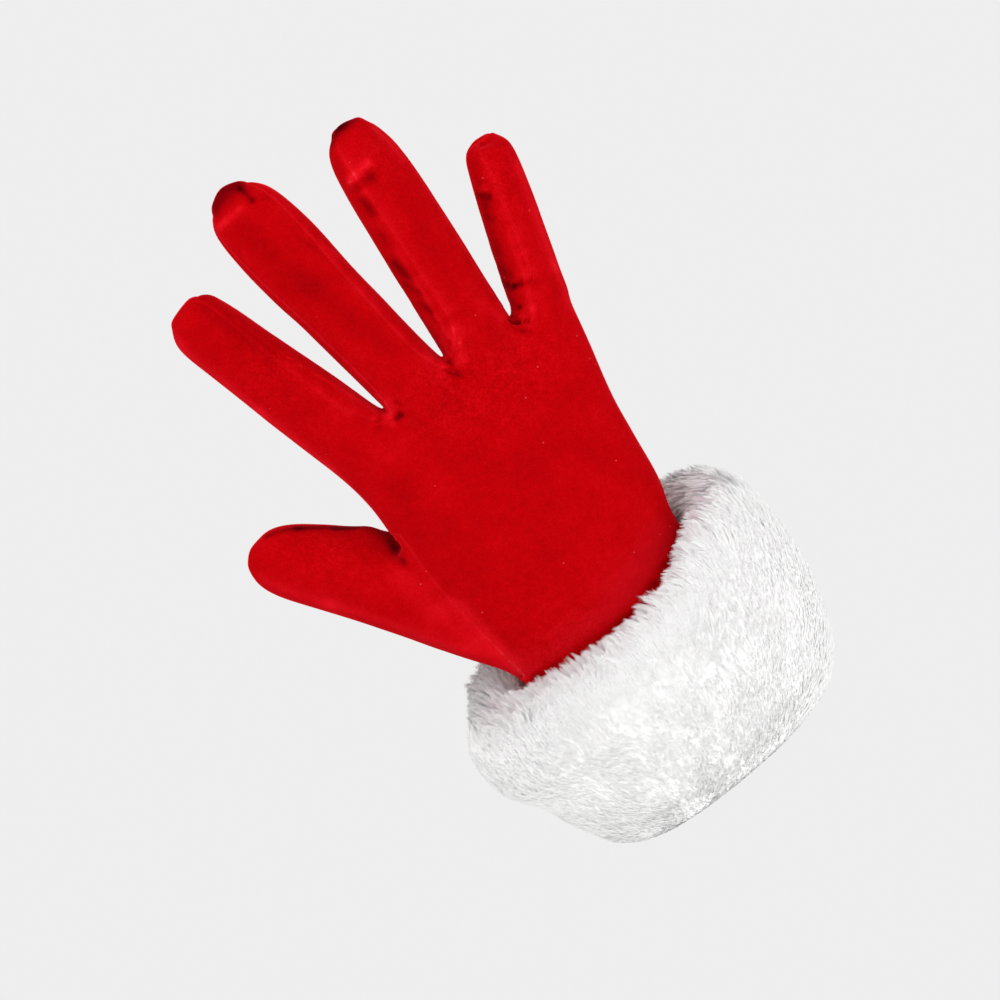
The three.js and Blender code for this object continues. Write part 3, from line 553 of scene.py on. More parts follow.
strokes = [
    # from x, y, z to x, y, z, reach, how far the cloth sinks, how much paler the colour is painted: a
    # painted highlight above 0, painted shade below 0
    # the end of the middle finger: painted shade in its hollow and crease, a painted highlight with glints
    # on the ridge below it, painted shade in fine wrinkles
    (-11.5, 0.5, 236, -3, -1, 236.9, 3, 0.1, -0.19),
    (-10.5, 2.5, 238, -1, 1.5, 238, 2.4, 0, -0.12),
    (-2.6, -1, 235.6, -2, -4.3, 231.2, 1, 0.7, -0.3),
    (-13.9, -1.8, 231.2, -5.9, -3.9, 231.2, 1.5, -0.7, 0.14),
    (-6.8, -3.7, 231.4, -6.4, -3.7, 231.2, 0.9, -0.2, 0.26),
    (-9.5, -3.3, 231, -9.1, -3.3, 230.7, 0.9, -0.2, 0.2),
    (-11.8, -2.7, 231.2, -11.4, -2.7, 230.9, 0.9, -0.1, 0.14),
    (1.7, -0.5, 233.3, -1.5, -3.9, 231.6, 0.5, 0.3, -0.09),
    (2.4, -1.3, 232.4, -0.6, -4.3, 230.9, 0.5, 0.3, -0.08),
    (3, -1.7, 231.2, 0.5, -4.6, 229.9, 0.5, 0.3, -0.08),
    (3.3, -2.4, 229.8, 1.5, -4.7, 228.7, 0.5, 0.3, -0.06),
    (-14, -4.1, 221.4, -14.8, -3.7, 218.1, 0.7, -0.2, 0.05),
    (3.9, -5.7, 213.6, 6.9, -4.3, 201.9, 0.7, -0.3, 0.07),
    (1.8, -7.1, 213.9, 4, -6.7, 202.6, 0.8, 0.2, -0.04),
    # the ring finger: painted shade on its end, painted highlights on a ridge and along the seam, painted
    # shade in the puckers down the strip, small raised dots painted paler where stitches show
    (28.6, 1.5, 228.6, 32.6, 1.3, 230.9, 2.6, 0.1, -0.34),
    (32.6, 1.3, 230.3, 37, 2.5, 230.2, 1.6, 0, -0.2),
    (24.1, -4.5, 216.9, 31.9, -5.8, 217.9, 1.4, -0.6, 0.2),
    (27.3, -5, 221.5, 25.5, -5.6, 212.3, 2, 0, 0.06),
    (24.7, -4.9, 214.5, 29.8, -6.3, 214.2, 1.8, 0.7, -0.17),
    (23.3, -5.1, 209.5, 23.2, -5.7, 206.1, 1.9, 0.7, -0.18),
    (21, -5.5, 199.2, 20.5, -5.5, 196.2, 1.4, 0.2, -0.09),
    (18.6, -5, 188.7, 19.4, -6, 184.5, 2.1, 0.8, -0.22),
    (17.3, -3.7, 184.1, 19.4, -7.1, 179.9, 0.8, -0.4, 0.07),
    (16.9, -4.5, 181.7, 18.2, -6.7, 178.5, 1.3, 0.6, -0.16),
    (17.3, -5.5, 176.7, 19.4, -8.2, 174.9, 0.7, -0.3, 0.05),
    (17, -5.3, 175.4, 17.5, -7.7, 172.1, 1.4, 0.6, -0.18),
    (17.1, -7.6, 169.6, 17.6, -8.6, 166.6, 0.9, 0.2, -0.08),
    (21.7, -6.9, 191.8, 17.9, -8.7, 167.5, 1, -0.2, 0.08),
    (17.9, -8.7, 167.5, 15.7, -9.3, 153.9, 0.9, -0.2, 0.07),
    (19.4, -9.6, 163.9, 19.5, -9.6, 163.8, 0.6, -0.2, 0.22),
    (19, -9, 161.3, 19.1, -9, 161.2, 0.6, -0.2, 0.18),
    (18.4, -9.5, 158.8, 18.5, -9.5, 158.7, 0.6, -0.2, 0.14),
    (16.4, -9.5, 154.4, 16.5, -9.5, 154.3, 0.6, -0.2, 0.18),
    (15.7, -7.3, 161.6, 17.2, -8.7, 159.4, 0.6, 0.3, -0.12),
    (14.8, -6.8, 159.1, 16.7, -8.9, 157, 0.6, 0.3, -0.12),
    (14.1, -8.1, 157.1, 16.3, -9.3, 155, 0.6, 0.3, -0.12),
    (12.2, -7, 156.9, 12.8, -7.6, 155.3, 0.9, 0.4, -0.26),
    (10.6, -8.6, 154.2, 12.3, -8.3, 151, 1, 0.4, -0.27),
    # the little finger: painted shade down its strip with a painted highlight, painted shade in the three
    # deep creases at its foot, a painted light line along the seam, small raised dots painted paler where
    # stitches show
    (53.3, 1.9, 189.1, 54.5, -0.2, 188.6, 0.8, -0.3, 0.1),
    (51.9, 2.8, 188.2, 53.9, -0.9, 186.1, 1.1, 0.5, -0.18),
    (51.9, 0.4, 185.3, 52, 0.2, 184.8, 2.2, 0.2, -0.05),
    (49.7, 1.2, 181.5, 50.8, -1.3, 180, 1, 0.2, -0.09),
    (57.6, 1.6, 197.3, 51.3, 0.9, 184.9, 2.2, 0, -0.04),
    (51.3, 0.9, 184.9, 45.6, -0.2, 171.9, 2.2, 0, -0.05),
    (45.6, -0.2, 171.9, 38, -0.6, 158.4, 2.2, 0, -0.05),
    (43.1, 1.9, 166.6, 43.9, -2.5, 163.6, 1.5, 0.5, -0.15),
    (40.7, 1.3, 162.3, 41.8, -3.5, 160.7, 0.9, 0.7, -0.26),
    (41.8, -3.5, 160.7, 44.6, -5.2, 159.7, 0.7, 0.5, -0.2),
    (39.9, -1.8, 160.1, 42.4, -5.7, 156.1, 2, 0.1, -0.03),
    (37.6, -1.3, 157.6, 38.8, -4.5, 155.4, 0.9, 0.7, -0.26),
    (38.8, -4.5, 155.4, 41.5, -5, 153.9, 0.8, 0.5, -0.22),
    (35.1, -3.9, 153.2, 36.2, -4.7, 151.2, 0.9, 0.8, -0.24),
    (36.2, -4.7, 151.2, 38.6, -6.2, 150.1, 0.8, 0.6, -0.22),
    (34.1, -6, 151.5, 36.3, -6.4, 148.9, 0.7, 0.3, -0.16),
    (42.6, -6.6, 152, 42.7, -6.6, 151.9, 0.6, -0.2, 0.18),
    (40.9, -6.7, 150, 41, -6.7, 149.9, 0.6, -0.2, 0.18),
    (50.9, -3.7, 173.8, 46.6, -5.8, 161.7, 1, -0.2, 0.05),
    (46.6, -5.8, 161.7, 42.1, -6.5, 151.6, 1, -0.2, 0.05),
    (34.1, -6.1, 150, 36.9, -7.1, 146.9, 0.8, 0.3, -0.12),
    # broad painted light and shade: painted shade on the flat of the fingers, painted light at the feet of
    # the gaps, a painted sheen along the outer edges
    (-14, -13, 104, 12, -15, 120, 20, 0, -0.022),
    (-9.5, -5.1, 226, -5, -8.2, 201.3, 5, 0, -0.055),
    (-5, -8.2, 201.3, 0.9, -10.6, 171, 4.5, 0, -0.045),
    (-37.7, -5.2, 208.8, -27.6, -9, 165, 4, 0, -0.02),
    (34.1, -5.6, 205.5, 26, -9.7, 165, 3.5, 0, -0.025),
    (-27.4, -10.2, 122.5, -26.2, -9.9, 133.6, 8, 0, -0.03),
    (-30.5, 2, 217.1, -34, 2, 218.1, 2, 0, -0.1),
    (-14.5, -4.7, 158.2, -16.7, -1, 172.3, 3.2, 0, 0.07),
    (-12, -7.5, 156, -8, -8.5, 159, 3, 0, 0.06),
    (10.2, -4.8, 162.3, 17, -8.9, 159.2, 3.2, 0, 0.06),
    (33.5, -5.5, 156.5, 31.5, -6.8, 163, 3, 0, 0.05),
    (-46.9, 1.1, 211.7, -41.5, -1.3, 180.8, 2.6, 0, 0.09),
    (-41.5, -1.3, 180.8, -36.4, -2, 153.8, 2.6, 0, 0.09),
    (-36.4, -2, 153.8, -35.9, 0, 135.8, 2.6, 0, 0.08),
    (67, 3, 187.2, 56.6, -1.7, 156.9, 2.4, 0, 0.09),
    (56.6, -1.7, 156.9, 52.3, -1.8, 142.4, 2.4, 0, 0.08),
    (42.3, 2.2, 223.7, 41, -0.3, 212, 2, 0, 0.08),
    (-77, 12, 139, -64.5, 7.1, 119.2, 2.6, 0, 0.07),
    (-64.5, 7.1, 119.2, -41.4, -5.2, 82.8, 2.6, 0, 0.08),
    (-40.5, -3.4, 114.1, -39.5, -6, 99.6, 4.5, 0, 0.05),
    (-38.8, -6, 96.6, -36.8, -7.4, 83.2, 4.5, 0, 0.04),
    (-33, -8, 97, -32.2, -9.3, 84, 2.6, 0, 0.06),
    (-32.2, -9.3, 80, -33, -9, 66, 2.8, 0, 0.07),
    (-33, -2.4, 216, -27.5, -5.8, 193, 3.6, 0, -0.105),
    (-36.8, -7.4, 83.2, -35.5, -8.6, 66, 5, 0, 0.06),
    # beside the cuff: broad painted light on the cloth above it, and the narrow painted shadow of its pile
    (-30, -12, 68, -14, -17.6, 67.5, 6, 0, 0.08),
    (-5, -18.8, 66, 3, -18.8, 66.5, 6, 0, 0.09),
    (12, -18.2, 68, 28, -14.2, 74, 6.5, 0, 0.1),
    (-30, -11.1, 63.6, -23.1, -15.5, 63.2, 1.2, 0, -0.2),
    (-20.7, -16.5, 63.1, -13.2, -18.2, 62.8, 1.2, 0, -0.2),
    (-10.6, -18.6, 62.8, 7.4, -19.1, 62.2, 1.2, 0, -0.2),
    (10, -18.9, 62.4, 17.1, -18, 63.9, 1.2, 0, -0.2),
    (19.5, -17.4, 64.5, 24.5, -15.9, 66, 1.2, 0, -0.2),
    (26.8, -15, 66.6, 34.6, -9.5, 68.9, 1.2, 0, -0.2),
    # painted shade at the foot of the gap beside the index finger, and a fine painted light line along its
    # seam
    (-11, -7.9, 153.4, -9.5, -8.9, 153.6, 1.1, 0.4, -0.32),
    (-7.8, -9.7, 156.7, -8, -9.5, 157.5, 0.8, 0.3, -0.15),
    (-28.9, -3.6, 206.7, -22.9, -5.4, 184.4, 0.7, -0.1, 0.05),
    (-22.9, -5.4, 184.4, -17.2, -5.3, 167.6, 0.7, -0.1, 0.05),
    (-17.2, -5.3, 167.6, -12.8, -6.7, 156.4, 0.7, -0.1, 0.05),
    # the thumb: painted shade along its upper edge, in the deep fold where it meets the hand, and in the
    # wrinkles beside it
    (-65.9, 15.6, 147.3, -56.6, 14, 143, 1.2, 0, -0.18),
    (-56.6, 14, 143, -43.9, 12.6, 131.9, 1.5, 0, -0.26),
    (-47, 12.5, 135.5, -43, 13.5, 131.5, 1.6, 0, -0.24),
    (-42, 13.8, 130.6, -37.4, 11.5, 125, 2.2, 0.2, -0.28),
    (-37, 7.6, 122, -38.2, -3.6, 116.3, 1.6, 0.8, -0.13),
    (-36.3, 10.9, 122.8, -37.2, 4.4, 120.1, 2, 0, -0.17),
    (-37.2, 4.4, 120.1, -37.9, -2.8, 117.5, 1.9, 0, -0.16),
    (-39.9, 8.8, 126, -41.6, 4.7, 123, 0.6, 0.2, -0.09),
    (-39, 8.3, 124.2, -40.3, 4.3, 121.2, 0.6, 0.2, -0.09),
]
ruffled_spots = [
    # x, y and z of the middle, reach: where the pile is mussed
    (6, -10, 148, 13), (27, -10, 142, 13), (-50, 10, 133, 12), (-30, -5, 188, 12),
    (60, 2, 190, 10), (-15, -12, 60, 20), (38, -4, 215, 8),
]


def unevenness(points, size, seed):
    """Smooth random heights from -1 to 1: random numbers on a cubic lattice of this size, blended between
    the eight corners round a point with eased weights."""
    side = 48
    lattice = np.random.default_rng(seed).uniform(-1, 1, (side, side, side))
    cell = np.asarray(points) / size
    low = np.floor(cell).astype(int)
    share = cell - low
    share = share * share * (3 - 2 * share)
    total = np.zeros(cell.shape[:-1])
    for corner in np.ndindex(2, 2, 2):
        weight = np.prod(np.where(corner, share, 1 - share), axis=-1)
        total += weight * lattice[tuple(np.moveaxis((low + corner) % side, -1, 0))]
    return total


def lumpy(points, lumps):
    """The sum of random heights of several sizes, each times its own height."""
    return sum(rise * unevenness(points, size, seed) for rise, size, seed in lumps)


def nearest(points, marks, at_once=4000):
    """For each point, the number of the nearest mark and the distance to it, worked out in blocks from the
    square of a difference."""
    number = np.empty(len(points), int)
    squares = (marks ** 2).sum(axis=1)
    for start in range(0, len(points), at_once):
        block = points[start:start + at_once]
        number[start:start + at_once] = (squares - 2 * block @ marks.T).argmin(axis=1)
    return number, np.linalg.norm(points - marks[number], axis=1)


low_panel = np.full(len(shell), STRIP + len(webs))
high_panel = np.full(len(shell), -1)
np.minimum.at(low_panel, shell_faces.ravel(), np.repeat(panel_of, 4))
np.maximum.at(high_panel, shell_faces.ravel(), np.repeat(panel_of, 4))
seam_places = shell[low_panel != high_panel]
seam_number, seam_far = nearest(shell, seam_places)
beside_seam = seam_places[seam_number]

height = lumpy(shell, cloth_lumps)
for *middle, reach, depth in dents:
    height -= depth * bell(shell, middle, reach)
# painted shade and painted highlights on the velvet, from the strokes and beside the seams
lie = np.zeros(len(shell))
for *ends, reach, sink, painted_lighter in strokes:
    start, end = np.reshape(ends, (2, 3))
    run = end - start
    share = np.clip((shell - start) @ run / (run @ run), 0, 1)
    near = bell(shell - start, share[:, None] * run, reach)
    height -= sink * near
    lie += painted_shading_contrast * painted_lighter * near
ruffled = least_ruffled + (1 - least_ruffled) * sum(
    bell(shell, middle, reach) for *middle, reach in ruffled_spots)
gather = least_gathered + sum(
    size * bell(beside_seam[:, [0, 2]], middle, reach) for *middle, reach, size in gathers)
ripple = gather * lumpy(beside_seam, puckers) * np.exp(-(seam_far / pucker_reach) ** 2)
groove = np.exp(-(seam_far / seam_width) ** 2)
ridges = np.exp(-((seam_far - ridge_place) / ridge_width) ** 2)
height += ripple + seam_ridge * ridges - seam_sink * groove
# painted highlights on raised puckers, the ridges and the seam line, and painted shade in sunk puckers
lie += pucker_painted_light * ripple + ridge_painted_light * ridges + seam_painted_light * groove
cloth_top = shell + out_of_shell * height[:, None]

# The velvet pieces.
# Each panel is a wall of knit cloth with a dense short pile on its outside, deep red, matte, with a soft
# sheen at a slant. The pile lies this way and that, so the red is slightly mottled, and bits of lint
# cling to it.
cloth_thickness = 1.2
seam_gap = 0.01
lint_cells, lint_width, lint_rarity, lint_strength = 210.0, 0.05, 0.7, 0.3
lint_colour = (0.7, 0.14, 0.17, 1)
velvet, spot = new_material(
    "red_velvet", Roughness=0.85, Specular_IOR_Level=0.0, Sheen_Weight=0.45, Sheen_Roughness=0.4,
    Sheen_Tint=(1.0, 0.03, 0.05, 1))
# The kept values hold the painted shade and painted highlights. The ramp turns them to darker and paler
# reds, and the noises add the pile's own mottle and grain.
painted_shading_socket, mussed = spot.kept("lie"), spot.kept("ruffled")
mottle = (spot.noise(11, 3.0) - 0.5) * 0.16 + (spot.noise(2.4, 3.0, 0.6) - 0.5) * (0.06 + 0.2 * mussed)
grain = (spot.noise(0.75, 2.0) - 0.5) * (0.10 + 0.22 * mussed)
shade_of_red = spot.node(
    "ShaderNodeValToRGB", {"stops": [
        (0, (0.04, 0, 0.001, 1)), (0.25, (0.165, 0.0001, 0.0014, 1)),
        (0.5, (0.362, 0.0005, 0.0019, 1)), (0.75, (0.54, 0.004, 0.009, 1)),
        (1, (0.74, 0.04, 0.06, 1))]},
    {"Fac": painted_shading_socket + mottle + grain})
cells = {"Vector": spot, "Scale": lint_cells}
cell_far = spot.node("ShaderNodeTexVoronoi", {}, cells)
cell_colour = spot.node("ShaderNodeTexVoronoi", {}, cells, output=1)
chance = cell_colour.node("ShaderNodeSeparateColor", {}, {"Color": cell_colour})
lint = (cell_far < lint_width) * (chance > lint_rarity)
colour = (lint * lint_strength).mixed(shade_of_red, lint_colour)
colour.into("Base Color")
pile_bump = spot.node("ShaderNodeBump", {}, {
    "Height": spot.noise(0.35, 2.0) + spot.noise(1.6, 2.0), "Distance": 0.00012, "Strength": 0.5})
pile_bump.into("Normal")

panels = {
    # node: its number, the width and length that it was cut from, its flat area, in metres
    "back_panel": (BACK, (0.145, 0.250), 0.0195),
    "palm_panel": (PALM, (0.145, 0.250), 0.0180),
    "thumb": (THUMB, (0.085, 0.100), 0.0067),
    "gusset_index_middle": (STRIP, (0.045, 0.085), 0.0019),
    "gusset_middle_ring": (STRIP + 1, (0.050, 0.085), 0.0021),
    "gusset_ring_little": (STRIP + 2, (0.045, 0.080), 0.0017),
}


def cloth_wall(number):
    """One panel as a closed wall: its outside, the plain shell moved in by the cloth's thickness with its
    faces turned round, and a face between the two at each open edge. The edge stands back from the seam
    by the seam's gap, towards the middles of the faces beside it. Also returns the point numbers."""
    corners = shell_faces[panel_of == number]
    own, faces = np.unique(corners, return_inverse=True)
    faces = faces.reshape(-1, 4)
    count = len(own)
    outside = cloth_top[own]
    inside = shell[own] + (np.minimum(height[own], 0) - cloth_thickness)[:, None] * out_of_shell[own]
    start, end = faces.ravel(), np.roll(faces, -1, axis=1).ravel()
    open_edge = ~np.isin(start * count + end, end * count + start)
    start, end = start[open_edge], end[open_edge]
    edge = np.unique(start)
    on_edge = np.isin(faces, edge)
    rows, places = np.nonzero(on_edge)
    middles = outside[faces].mean(axis=1)[rows] - outside[faces[rows, places]]
    pull = sums(faces[rows, places], middles, count)
    pull -= out_of_shell[own] * (pull * out_of_shell[own]).sum(axis=1, keepdims=True)
    pull *= seam_gap / np.maximum(np.linalg.norm(pull, axis=1, keepdims=True), 1e-9)
    walls = np.stack([end, start, start + count, end + count], axis=1)
    return (np.concatenate([outside + pull, inside + pull]),
            np.concatenate([faces, faces[:, ::-1] + count, walls]), own)


def paint(piece, key, values):
    """Keeps one value for each point of a piece under this name."""
    held = piece.data.attributes.new(key, "FLOAT", "POINT")
    held.data.foreach_set("value", values.astype(np.float32).ravel())


for name, (number, cut, area) in panels.items():
    points, faces, own = cloth_wall(number)
    piece = make_piece("velvet_" + name, points / 1000, faces, velvet)
    # the painted shade and highlights, and how mussed the pile is
    paint(piece, "lie", np.tile(0.5 + lie[own], 2))
    paint(piece, "ruffled", np.tile(np.minimum(ruffled[own], 1), 2))
    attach(piece, "root")
    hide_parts(name)

# The cuff.
# White plush with a dense pile, sewn as a band and turned over at the wrist. Its ground is a soft ring
# that lies among the fibres, open round the cloth of the sleeve, with lumps where the pile falls in tufts.
cuff_rows = np.array([
    # height, middle in x and y, half width, half depth, squareness, share of the rim's tilt, fibre length
    (1.2, 0.2, 0, 35.4, 25.6, 2.5, 0.2, 1), (2, 0.6, 0, 40.6, 30.2, 2.25, 0.7, 1.8),
    (5.2, 1, 0, 44.8, 33.7, 2.15, 1, 3.4), (11, 1.4, 0, 48.5, 37.2, 2.15, 1, 4),
    (21, 1.6, 0, 52.9, 41, 2.15, 1, 4), (32, 1.4, 0, 56.4, 44.5, 2.15, 1, 4),
    (44.5, -0.7, 0, 60.2, 47.3, 2.15, 1, 4), (55.5, -1, 0, 60.5, 48.2, 2.15, 1, 4.2),
    (63, -0.2, 0, 58, 46.1, 2.15, 1, 4.6), (67, 1.9, 0, 52.7, 41.9, 2.15, 1, 5.4),
    (67.2, 2.5, 0, 48.1, 37.5, 2.15, 1, 5.6), (66.4, 2, 0.2, 43.2, 32.6, 2.2, 1, 5.2),
    (64.6, 1.8, 0.4, 39, 28.3, 2.35, 0.9, 4.8), (61, 1.6, 0.5, 36.8, 24.8, 2.5, 0.6, 3.6),
    (46, 0.9, 0.4, 34.2, 22.6, 2.6, 0, 0), (26, 0.4, 0, 32.5, 22.5, 2.6, 0, 0),
    (8, 0, 0, 32.1, 22.7, 2.6, 0, 0)])
rim_slope, rim_tilt, groove_height, rim_height, front_depth = 0.06, 0.07, 50, 60, 30
# how much lower the rim lies at the thumb's end: x of the middle, reach, drop
end_drop = (-54, 11, 4)
rim_waves = [
    # along the rim over the back of the hand: x of the middle, reach, height
    (8, 21, -2.8), (38, 8.5, 2.8)]


def cuff_point(turn, along):
    """A point of the ring: the table's rows, joined by a closed Catmull-Rom curve, give an oval's height,
    middle, half sizes and squareness, and turn goes round it. Heights tilt with x and y. The last value
    is the fibre's length there."""
    turn, along = np.broadcast_arrays(turn, along)
    low = np.floor(along).astype(int)
    t = (along - low)[..., None]
    a, b, c, d = (cuff_rows[(low + k) % len(cuff_rows)] for k in (-1, 0, 1, 2))
    row = b + t / 2 * (c - a + t * (2 * a - 5 * b + 4 * c - d + t * (3 * (b - c) + d - a)))
    z, x, y, wide, deep, square, tilt, fibre = np.moveaxis(row, -1, 0)
    x = x + wide * signed_power(np.cos(turn), 2 / square)
    y = y + deep * signed_power(np.sin(turn), 2 / square)
    z = z + tilt * (rim_slope * x + rim_tilt * y) * z / groove_height
    wave = sum(lift * np.exp(-((x - middle) / reach) ** 2) for middle, reach, lift in rim_waves)
    z = z + wave * np.clip(-y / front_depth, 0, 1) * np.clip(z / rim_height, 0, 1) ** 3
    middle, reach, drop = end_drop
    z = z - drop * np.exp(-((x - middle) / reach) ** 2) * np.clip(z / rim_height, 0, 1) ** 3
    return np.stack([x, y, z], axis=-1), np.maximum(fibre, 0)


def unit(ways):
    """The same directions at length 1: each over the root of the sum of its squares."""
    return ways / np.linalg.norm(ways, axis=-1, keepdims=True)


def cuff_frame(turn, along, turn_by=0.01, step_by=0.05):
    """The point, the outward direction, the direction up the outside, over the rim and down into the
    groove, and the direction round the wrist, from small differences, and the fibre's length."""
    place, fibre = cuff_point(turn, along)
    round_way = cuff_point(turn + turn_by, along)[0] - cuff_point(turn - turn_by, along)[0]
    over_way = cuff_point(turn, along + step_by)[0] - cuff_point(turn, along - step_by)[0]
    out = unit(np.cross(round_way, over_way))
    over_way = unit(over_way)
    return place, out, over_way, np.cross(over_way, out), fibre


ground_turns, steps_per_row = 240, 5
ground_steps = steps_per_row * len(cuff_rows)
# height, size, seed of the tufts' lumps, which fade out where the fibres are shorter than this
ground_lumps = [(0.25, 9, 11), (0.08, 3.5, 12)]
full_fibre = 3
turn = np.linspace(0, 2 * np.pi, ground_turns, endpoint=False)[:, None]
along = np.arange(ground_steps)[None] / steps_per_row
place, out, _, _, fibre = cuff_frame(turn, along)
furry = np.clip(fibre / full_fibre, 0, 1)
place = place + out * (furry * lumpy(place, ground_lumps))[..., None]
ground_ids = np.arange(place.size // 3).reshape(ground_turns, ground_steps)
ground_ids = np.vstack([ground_ids, ground_ids[:1]])
ground_ids = np.hstack([ground_ids, ground_ids[:, :1]])
# painted colours: grey for painted shade, and a dark pink for the painted red reflection of the cloth in
# shade
shaded_white, red_reflection_shade_colour = (0.26, 0.25, 0.255, 1), (0.56, 0.36, 0.45, 1)
darkest_shade, far_red_reflection, end_red_reflection = 0.9, 0.15, 0.6
# row of the cuff, share of the red cloth's light that reaches the pile there
red_reflection_rows, red_reflection_shares = [0, 8, 9, 10, 12], [0.02, 0.05, 0.35, 0.8, 1]
rim_shadows = [
    # x, y and z of the middle, reach, strength: where the fibres part and shade each other
    (-38.5, 17, 66.4, 2.2, 0.4), (-42.5, 7, 66.8, 2.2, 0.7), (-46, 5, 65.5, 2.2, 0.9),
    (-49, 2, 64.5, 2.2, 0.9), (-51.5, 0, 63.4, 2.4, 1), (52.5, -1.7, 74, 2.4, 1),
    (55, -1.9, 73.1, 2.2, 1), (54.5, -8, 71.6, 3, 1), (56.1, -7.1, 69.1, 2.2, 0.8),
    (42.5, 11, 71, 2.6, 0.8), (53, -5.5, 72.3, 3, 0.8), (-53.5, -2, 62.5, 2.2, 1),
    (-54.5, -4, 61, 1.8, 0.7)]


def white(spot, tuft, stops):
    """The plush's colour: a ramp over the tufts' unevenness, towards a dark pink where the points keep a
    painted red reflection of the cloth in shade, and towards grey where they keep a painted shade."""
    colour = tuft.node("ShaderNodeValToRGB", {"stops": stops}, {"Fac": tuft})
    colour = spot.kept("blush").mixed(colour, red_reflection_shade_colour)
    return spot.kept("shade").mixed(colour, shaded_white)


plush, spot = new_material(
    "white_plush", Roughness=1.0, Specular_IOR_Level=0.0, Sheen_Weight=0.2, Sheen_Roughness=0.6)
tuft = spot.noise(5, 3.0) * 0.6 + spot.noise(1.2, 2.0) * 0.4
white(spot, tuft, [(0.3, (0.92, 0.915, 0.91, 1)), (0.7, (0.955, 0.955, 0.95, 1))]).into("Base Color")
tuft_bump = spot.node("ShaderNodeBump", {}, {
    "Height": spot.noise(1.5, 3.0), "Distance": 0.0002, "Strength": 0.5})
tuft_bump.into("Normal")


def shade_at(points):
    """How dark the pile is: the rim's shadows, each a bell-shaped spot, broken up into streaks."""
    spots = sum(strength * bell(points, middle, reach) for *middle, reach, strength in rim_shadows)
    return np.minimum(spots, darkest_shade) * np.clip(0.6 + 1.1 * unevenness(points, 1.2, 34), 0.15, 1)


def red_reflection_at(points, along):
    """How much painted red reflection of the cloth, with painted shade, the pile gets: more towards the
    groove, most on the near side and at the little finger's end, and in streaks, where strands lie deeper."""
    near = np.clip((8 - points[..., 1]) / 18, 0, 1)
    streaks = np.clip(0.5 + 1.2 * unevenness(points, 1.3, 33), 0, 1.5)
    end = 1 + end_red_reflection * np.clip((points[..., 0] - 25) / 15, 0, 1)
    inwards = np.interp(along, red_reflection_rows, red_reflection_shares)
    return inwards * end * (far_red_reflection + (1 - far_red_reflection) * near) * streaks


ground = make_piece("plush_ground", place.reshape(-1, 3) / 1000, grid_faces(ground_ids), plush)
# painted shadows at the rim and the painted red reflection of the cloth, kept on the ground's points
paint(ground, "shade", shade_at(place))
paint(ground, "blush", np.clip(red_reflection_at(place, along), 0, 1))
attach(ground, "root")
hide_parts("plush_cuff")

# The pile.
# White fibres cover the ground. On the outside of the band they lie nearly flat, combed up towards the
# rim. On the rim they stand, and their tips gather into pointed tufts over the red cloth. Each is a slim
# three-sided spike.
clear_of_cloth, root_depth = 0.5, 0.25
# from this height, over this height, the thumb's gusset widens the sleeve by this share of it
gusset_foot, gusset_height, gusset_spread = 60, 30, 0.25
# how far the directions for the light lean to a fibre's side and along it, and a turn off parallel ways
lean_out, lean_up, off_parallel = 0.12, 0.1, 0.01
# the radius that the tufts are counted on, and the rows after which their pattern repeats
cuff_radius, pattern_rows = 50, 97
# the last row of the cuff with fibres, and the share of the painted red reflection and shade that a fibre's
# tip keeps
pile_end, tip_red_reflection = 13, 0.35
coat = {"count": 44000, "rows": (0, 9), "radius": 0.21, "tuft": 2.6, "pitch": 10,
        "drawn": (0, 0.2), "uneven": 0.08, "sway": (0.22, 0.03, 0.10)}
rim = {"count": 47000, "rows": (8, 13), "radius": 0.12, "tuft": 2.2, "pitch": 6,
       "drawn": (0.6, 1), "uneven": 0.5, "sway": (0.40, 0.08, 0.12)}
pile_pieces = {"plush_coat_1": coat, "plush_coat_2": coat, "plush_rim": rim}
combing = np.array([
    # row of the cuff, how far the fibres stand up, how far they lie over, the way they lie in degrees
    (0, 0.45, 0.8, 70), (1, 0.45, 0.8, 75), (2.2, 0.32, 0.9, 80),
    (4.5, 0.22, 0.95, 84), (6.5, 0.24, 0.95, 88), (8.5, 0.52, 0.82, 90), (10, 0.9, 0.45, 90),
    (11, 0.7, 0.6, 90), (12, 0.6, 0.7, 100), (13, 0.6, 0.7, 120)])


def sprouting(turn, along, sway, uneven):
    """The root and tip of a fibre, and the outward direction at its root. It leaves the ground partly
    outwards and partly the way that it is combed, and sways by slow random angles. On the rim it drifts
    towards the thumb's side, most at that end."""
    root, out, over, round_way, long = cuff_frame(turn, along)
    stand, lay, angle = (np.interp(along, combing[:, 0], combing[:, k]) for k in (1, 2, 3))
    angle = np.radians(angle + 10 * unevenness(root, 12, 21) + 7 * unevenness(root, 4, 22)) + sway[:, 0]
    way = over * np.sin(angle)[:, None] + round_way * np.cos(angle)[:, None]
    way = way + round_way * (2 * uneven * unevenness(root, 3.5, 31))[:, None]
    drift = np.interp(along, [7.5, 9], [0, 1]) * (0.5 + 0.6 * np.clip(-root[:, 0] / 45, 0, 1) ** 2)
    way = way - drift[:, None] * [1, 0, 0]
    stand = stand + 0.3 * uneven * unevenness(root, 3, 23) + sway[:, 1]
    long = long * (1 + uneven * unevenness(root, 3, 25) + sway[:, 2])
    root = root - root_depth * out
    return root, root + (long * stand)[:, None] * out + (long * lay)[:, None] * way, out


